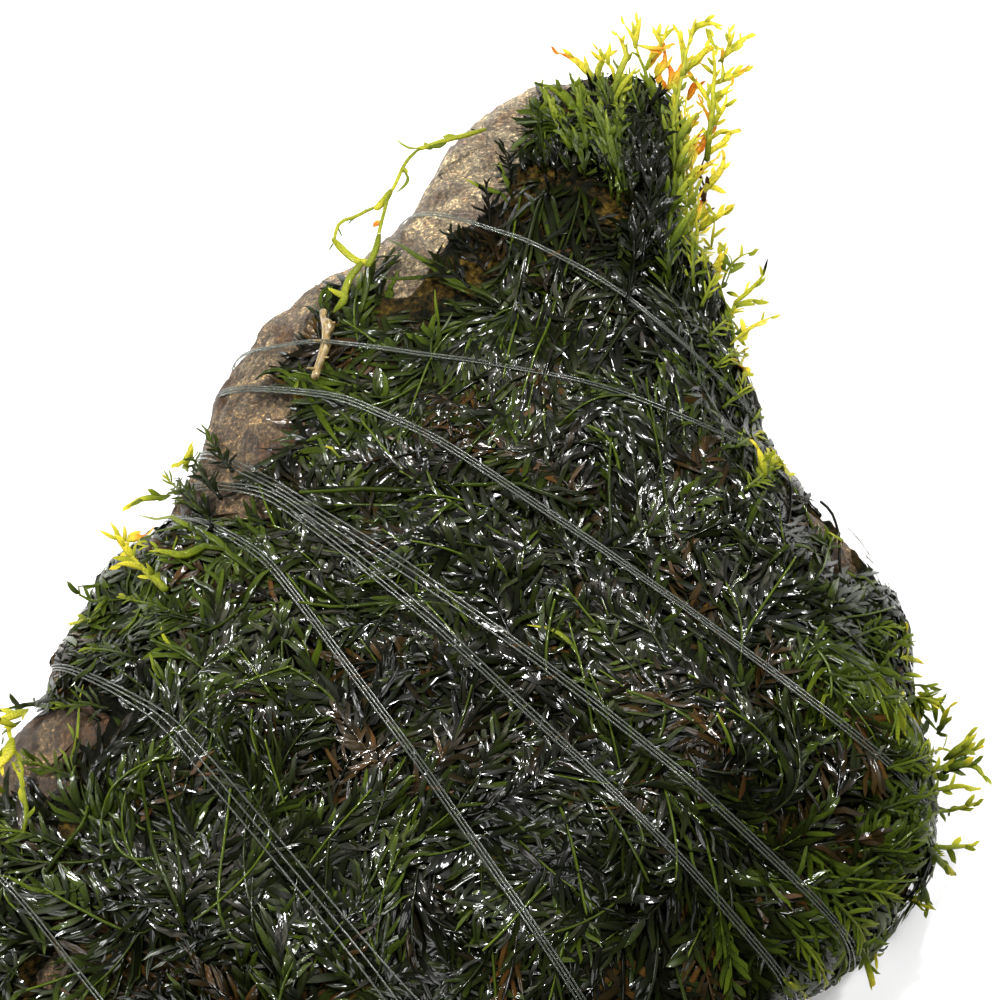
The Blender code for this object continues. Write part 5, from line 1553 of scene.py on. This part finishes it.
# Feather sprigs on the mat: leaf length in mm, opening in degrees, tone at root and tip, height
# at the tip, and x and y of each pixel that the stem runs through.
feathers = [
    (3.8, 34, 0.52, 0.7, 15, 600, 250, 594, 200, 578, 150, 556, 110, 541, 88),
    (3.6, 34, 0.52, 0.72, 15, 622, 240, 612, 190, 600, 140, 584, 100, 574, 82),
    (3.4, 34, 0.5, 0.74, 14, 628, 215, 622, 170, 618, 130, 612, 94),
    (3.8, 40, 0.38, 0.56, 14, 560, 250, 548, 205, 545, 165, 540, 130, 531, 104),
    (3.6, 44, 0.04, 0.44, 14, 530, 240, 515, 200, 508, 165, 500, 146),
    (3.6, 36, 0.6, 0.84, 14, 668, 283, 668, 230, 674, 172, 672, 124, 676, 88),
    (3.4, 40, 0.7, 0.89, 13, 692, 290, 690, 240, 685, 190, 684, 140, 686, 100),
    (4.4, 28, 0.34, 0.44, 14, 640, 280, 645, 240, 650, 200, 652, 160, 646, 116),
    (4.4, 28, 0.32, 0.42, 14, 662, 262, 658, 215, 655, 170, 660, 130, 656, 96),
    (4.0, 30, 0.36, 0.48, 14, 632, 160, 634, 128, 632, 104, 628, 86),
    (3.6, 36, 0.26, 0.44, 14, 600, 130, 598, 110, 590, 92, 580, 84),
    (3.8, 34, 0.36, 0.5, 14, 642, 120, 650, 100, 654, 86),
    (3.0, 44, 0.8, 0.92, 12, 704, 272, 699, 240, 694, 206, 692, 170, 697, 138),
    (3.8, 40, 0.42, 0.54, 14, 580, 300, 575, 260, 565, 220, 560, 190),
    (4.0, 34, 0.26, 0.4, 14, 600, 300, 606, 250, 604, 200, 596, 150),
    (4.2, 30, 0.34, 0.44, 14, 630, 300, 634, 250, 632, 200, 628, 160),
    (4.2, 30, 0.4, 0.52, 14, 586, 250, 580, 214, 570, 180, 566, 150),
    (4.2, 30, 0.34, 0.46, 14, 612, 236, 616, 205, 610, 176, 600, 152),
    (4.4, 28, 0.3, 0.42, 14, 648, 236, 640, 196, 640, 150, 638, 120),
    (4.0, 32, 0.26, 0.4, 14, 560, 200, 556, 172, 560, 150, 566, 126),
    (4.0, 32, 0.1, 0.36, 14, 500, 260, 492, 236, 490, 212, 486, 190),
    (4.2, 34, 0.14, 0.4, 14, 548, 290, 540, 262, 528, 240, 522, 214),
    (3.4, 36, 0.5, 0.74, 15, 642, 124, 636, 100, 628, 76),
    (3.2, 36, 0.46, 0.72, 14, 660, 128, 655, 104, 650, 80),
    (3.4, 36, 0.52, 0.74, 15, 612, 116, 606, 96, 598, 78),
    (4.2, 34, 0.12, 0.4, 14, 562, 222, 550, 190, 536, 162),
    (4.2, 34, 0.14, 0.44, 14, 540, 215, 528, 186, 524, 160),
    (4.2, 34, 0.3, 0.44, 14, 614, 242, 606, 215, 598, 188),
    (4.0, 34, 0.14, 0.46, 14, 486, 272, 472, 252, 452, 236),
    (4.0, 34, 0.3, 0.54, 14, 470, 290, 452, 274, 430, 262),
    (3.2, 34, 0.4, 0.66, 14, 222, 500, 206, 480, 192, 455),
    (3.0, 34, 0.34, 0.62, 14, 214, 530, 196, 505, 180, 480),
    (3.0, 34, 0.4, 0.66, 14, 232, 470, 216, 450, 206, 430),
    (6.0, 84, 0.4, 0.44, 9, 420, 491, 451, 487, 484, 487, 518, 487, 548, 497, 576, 511),
    (5.0, 80, 0.42, 0.48, 9, 300, 493, 340, 490, 380, 490, 420, 491),
    (2.8, 40, 0.72, 0.88, 12, 700, 310, 710, 286, 722, 262),
    (2.6, 40, 0.7, 0.86, 12, 708, 340, 722, 324, 737, 310),
    (2.8, 40, 0.68, 0.86, 11, 712, 372, 728, 358, 745, 350),
    (2.8, 40, 0.66, 0.84, 10, 722, 410, 738, 396, 752, 386),
    (2.8, 40, 0.66, 0.86, 9, 735, 450, 750, 438, 764, 430),
    (3.0, 40, 0.7, 0.88, 9, 744, 492, 764, 474, 782, 456),
    (3.0, 38, 0.58, 0.74, 9, 850, 640, 874, 630, 898, 628),
    (3.2, 38, 0.62, 0.82, 9, 880, 700, 906, 696, 932, 700),
    (3.2, 38, 0.62, 0.82, 9, 885, 770, 914, 760, 944, 748),
    (3.4, 36, 0.52, 0.74, 8, 880, 810, 908, 800, 938, 792),
    (3.4, 36, 0.54, 0.74, 8, 870, 850, 900, 852, 932, 852),
    (3.6, 36, 0.62, 0.82, 8, 850, 890, 882, 892, 920, 902),
    (3.6, 36, 0.62, 0.84, 8, 830, 900, 852, 922, 876, 956),
    (3.4, 36, 0.62, 0.84, 8, 790, 930, 808, 952, 828, 980),
    (3.2, 36, 0.52, 0.74, 15, 210, 520, 190, 500, 168, 480),
    (3.0, 36, 0.62, 0.84, 15, 196, 572, 172, 556, 140, 546),
    (3.0, 36, 0.52, 0.74, 14, 190, 620, 160, 608, 128, 600),
    (3.2, 36, 0.5, 0.72, 13, 140, 660, 112, 652, 88, 650),
    (3.2, 36, 0.5, 0.7, 14, 110, 710, 84, 704, 58, 706),
    (3.4, 36, 0.5, 0.72, 16, 80, 780, 52, 768, 22, 760),
    (3.4, 36, 0.48, 0.7, 18, 70, 850, 36, 836, 0, 830),
]
featherForm = {
    "stations": 14,
    "pitch": 0.5,  # mm
    "leafWidth": 0.13,  # share of leaf length
    "stemRadii": (0.24, 0.1),  # mm at root and tip
    "sides": 6,
}
count = featherForm["stations"]
leafLengths, openings, rootTones, tipTones, heights = np.array([row[:5] for row in feathers]).T
paths, normals = (np.array(part) for part in zip(*(
    tracePath(row[5:], height, height, count, []) for row, height in zip(feathers, heights))))
featherTones = np.linspace(rootTones, tipTones, count, axis=1)
stemRadii = np.linspace(*featherForm["stemRadii"], count) + 0 * featherTones
stems = tubeMesh(paths, normals, stemRadii, featherForm["sides"], featherTones)
leaves = leafletsOn(paths, normals, featherTones, leafLengths, featherForm["pitch"], openings,
                    featherForm["leafWidth"] * leafLengths)
addPiece("feathers_on_mat", stackMeshes([leaves, stems]), freshLeaf, "wet_moss", "moss_mat")

# Shoots past the picture's edges: a stem and its leaves on the course of their solids. Each
# row is azimuth and latitude of the root in degrees, and the tip in mm.
hiddenShoots = {
    "corner_shoot": [
        (206, 14, (-61, -27, 14)), (216, 2, (-59, -40, 8)), (224, 14, (-50, -47, 12)),
    ],
    "front_shoot": [
        (236, 4, (-36, -52, 8)), (252, 14, (-18, -52, 12)), (268, 6, (-2, -54, 9)),
        (284, 14, (13, -52, 12)), (301, 4, (30, -47, 8)),
    ],
}
hiddenForm = {
    "stations": 14,
    "tones": (0.66, 0.86),
    "leaflets": (3.1, 0.5, 52.0, 0.7, 16.0),  # length, pitch, opening, width and roll
    "stemRadii": (0.3, 0.14),  # mm at root and tip
    "stemTone": 0.64,
    "sides": 6,
}
stemRadii = np.linspace(*hiddenForm["stemRadii"], hiddenForm["stations"])
for place, shoots in hiddenShoots.items():
    for number, shoot in enumerate(shoots, 1):
        path, normals = (part[None] for part in shootPath(*shoot, hiddenForm["stations"]))
        leaves = leafletsOn(path, normals, np.array([hiddenForm["tones"]]), *hiddenForm["leaflets"])
        stem = tubeMesh(path, normals, stemRadii[None], hiddenForm["sides"], hiddenForm["stemTone"])
        addPiece(f"{place}_{number}_leaves", stackMeshes([leaves, stem]), freshLeaf,
                 "fresh_shoots", f"{place}_{number}")

# Dead stem: tan, soaked, with dark lengthwise cracks. It follows the rings of its solid.
deadStem, tree, shader = newMaterial("dead stem skin")
uv = addNode(tree, "ShaderNodeUVMap", uv_map="OFBake").outputs["UV"]
stretched = addNode(tree, "ShaderNodeMapping", {"Vector": uv, "Scale": (400.0, 9.0, 1.0)})
cracks = addNode(tree, "ShaderNodeTexNoise", {
    "Vector": stretched.outputs["Vector"], "Scale": 1.0, "Detail": 5.0, "Roughness": 0.7})
skin = setRamp(addNode(tree, "ShaderNodeValToRGB", {"Fac": cracks.outputs["Fac"]}), [
    (0.32, "#2a2010"), (0.45, "#5f4c2a"), (0.58, "#8b7748"), (0.72, "#b5a476")])
feed(tree, shader, {
    "Base Color": skin.outputs["Color"], "Roughness": 0.45,
    "Coat Weight": 0.6, "Coat Roughness": 0.1, "Coat IOR": 1.33})

twig = {
    "stations": 26,
    "knots": (0.16, (1.2, 3.5), 6),  # depth, wave lengths and count
    # Share of length, side and length of each stub.
    "stubs": [(0.2, 1, 1.3), (0.48, -1, 1.7), (0.74, 1, 1.1), (0.9, -1, 1.4)],
    "stubWay": (0.75, -0.25, 0.6),
    "stubRadii": (0.26, 0.12),  # mm at root and tip
    "sides": (10, 6),  # of stem and stubs
}
centres, radii = ringCentres("old_stem", 1.3)
path = smoothPath(centres, twig["stations"])
wobble = smoothWaves(path, *twig["knots"], seed + 21)
middle = path + np.stack([wobble, 0 * wobble, 0.4 * wobble], -1) * 0.6
upward = np.broadcast_to([0.0, 0.0, 1.0], middle.shape)
thickness = np.interp(np.linspace(0, 1, twig["stations"]), np.linspace(0, 1, len(radii)), radii)
sides, stubSides = twig["sides"]
parts = [tubeMesh(middle[None], upward[None], (thickness * (0.95 + wobble))[None], sides, 0.5)]
for share, sign, length in twig["stubs"]:
    root = middle[int(share * (twig["stations"] - 1))]
    reach = np.array(twig["stubWay"]) * (sign, 1, 1) * length
    stub = root + reach * np.linspace(0, 1, 5)[:, None]
    stubRadii = np.linspace(*twig["stubRadii"], 5)
    parts.append(tubeMesh(stub[None], upward[None, :5], stubRadii[None], stubSides, 0.5))
addPiece("dead_stem", stackMeshes(parts), deadStem, "old_stem_skin", "old_stem")

# Clear nylon: a smooth bright-edged thread that shows what lies under it.
clearNylon, tree, shader = newMaterial("clear nylon line")
feed(tree, shader, {
    "Base Color": linearOf("#8d9388"), "Roughness": 0.2, "IOR": 1.45,
    "Specular IOR Level": 0.34, "Transmission Weight": 0.86})

mesh = tubeMesh(lineCourse[None], lineOut[None], lineRadii[None], tieLine["sides"], 0.5)
addPiece("nylon_strands", mesh, clearNylon, "nylon_line", "tie_line")

# Floor, light and camera.

floorSize = 3.0  # m
floorMesh = bpy.data.meshes.new("floor")
half = floorSize / 2
floorMesh.from_pydata([(-half, -half, 0), (half, -half, 0), (half, half, 0), (-half, half, 0)],
                      [], [(0, 1, 2, 3)])
floor = bpy.data.objects.new("floor", floorMesh)
bpy.context.scene.collection.objects.link(floor)
# White light table: matt white that also glows a little, so that only the contact shadow shows.
paper, tree, shader = newMaterial("white light table")
feed(tree, shader, {
    "Base Color": linearOf("#d6d6d6"), "Roughness": 0.9, "Specular IOR Level": 0.1,
    "Emission Color": (1.0, 1.0, 1.0, 1.0), "Emission Strength": 0.24})
floorMesh.materials.append(paper)

world = bpy.data.worlds.new("white studio")
world.use_nodes = True
bpy.context.scene.world = world
# The room is bright at its walls and dim overhead, as round a table shot from above.
tree = world.node_tree
heading = addNode(tree, "ShaderNodeTexCoord").outputs["Generated"]
height = addNode(tree, "ShaderNodeSeparateXYZ", {"Vector": heading}).outputs["Z"]
glow = addNode(tree, "ShaderNodeMapRange", {
    "Value": height, "From Min": 0.02, "From Max": 0.36, "To Min": 2.6, "To Max": 0.3})
feed(tree, tree.nodes["Background"], {"Strength": glow.outputs["Result"]})

# A broad soft lamp gives the sheen, and small bright ones from many sides the hard glints.
lights = [
    # name, place in mm, size in mm, watts, blue share
    ("softbox", (-300, -420, 560), 300, 2.3, 1.0),
    ("side", (-640, 60, 330), 180, 2.7, 1.0),
    ("ceiling", (-60, 330, 640), 320, 1.0, 0.68),
    ("glint_1", (70, 410, 600), 76, 4.6, 1.0),
    ("glint_2", (-380, 180, 580), 76, 4.6, 1.0),
    ("glint_3", (440, 250, 540), 84, 4.6, 1.0),
]
for name, spot, size, watts, blue in lights:
    data = bpy.data.lights.new(name, "AREA")
    data.shape = "DISK"
    data.size = size * mm
    data.energy = watts
    data.color = (1.0, (1 + blue) / 2, blue)
    lamp = bpy.data.objects.new(name, data)
    bpy.context.scene.collection.objects.link(lamp)
    lamp.location = np.array(spot, float) * mm
    lamp.rotation_euler = Vector(-np.array(spot, float)).to_track_quat("-Z", "Y").to_euler()

view = bpy.data.cameras.new("camera")
view.lens = camera["lens"]
view.sensor_width = camera["sensor"]
view.clip_start = 0.01
viewer = bpy.data.objects.new("camera", view)
bpy.context.scene.collection.objects.link(viewer)
viewer.location = (eye + planShift) * mm
viewer.rotation_euler = (math.radians(90 - camera["elevation"]), 0, 0)
bpy.context.scene.camera = viewer
bpy.context.scene.view_settings.view_transform = "Standard"
bpy.context.scene.view_settings.look = "None"
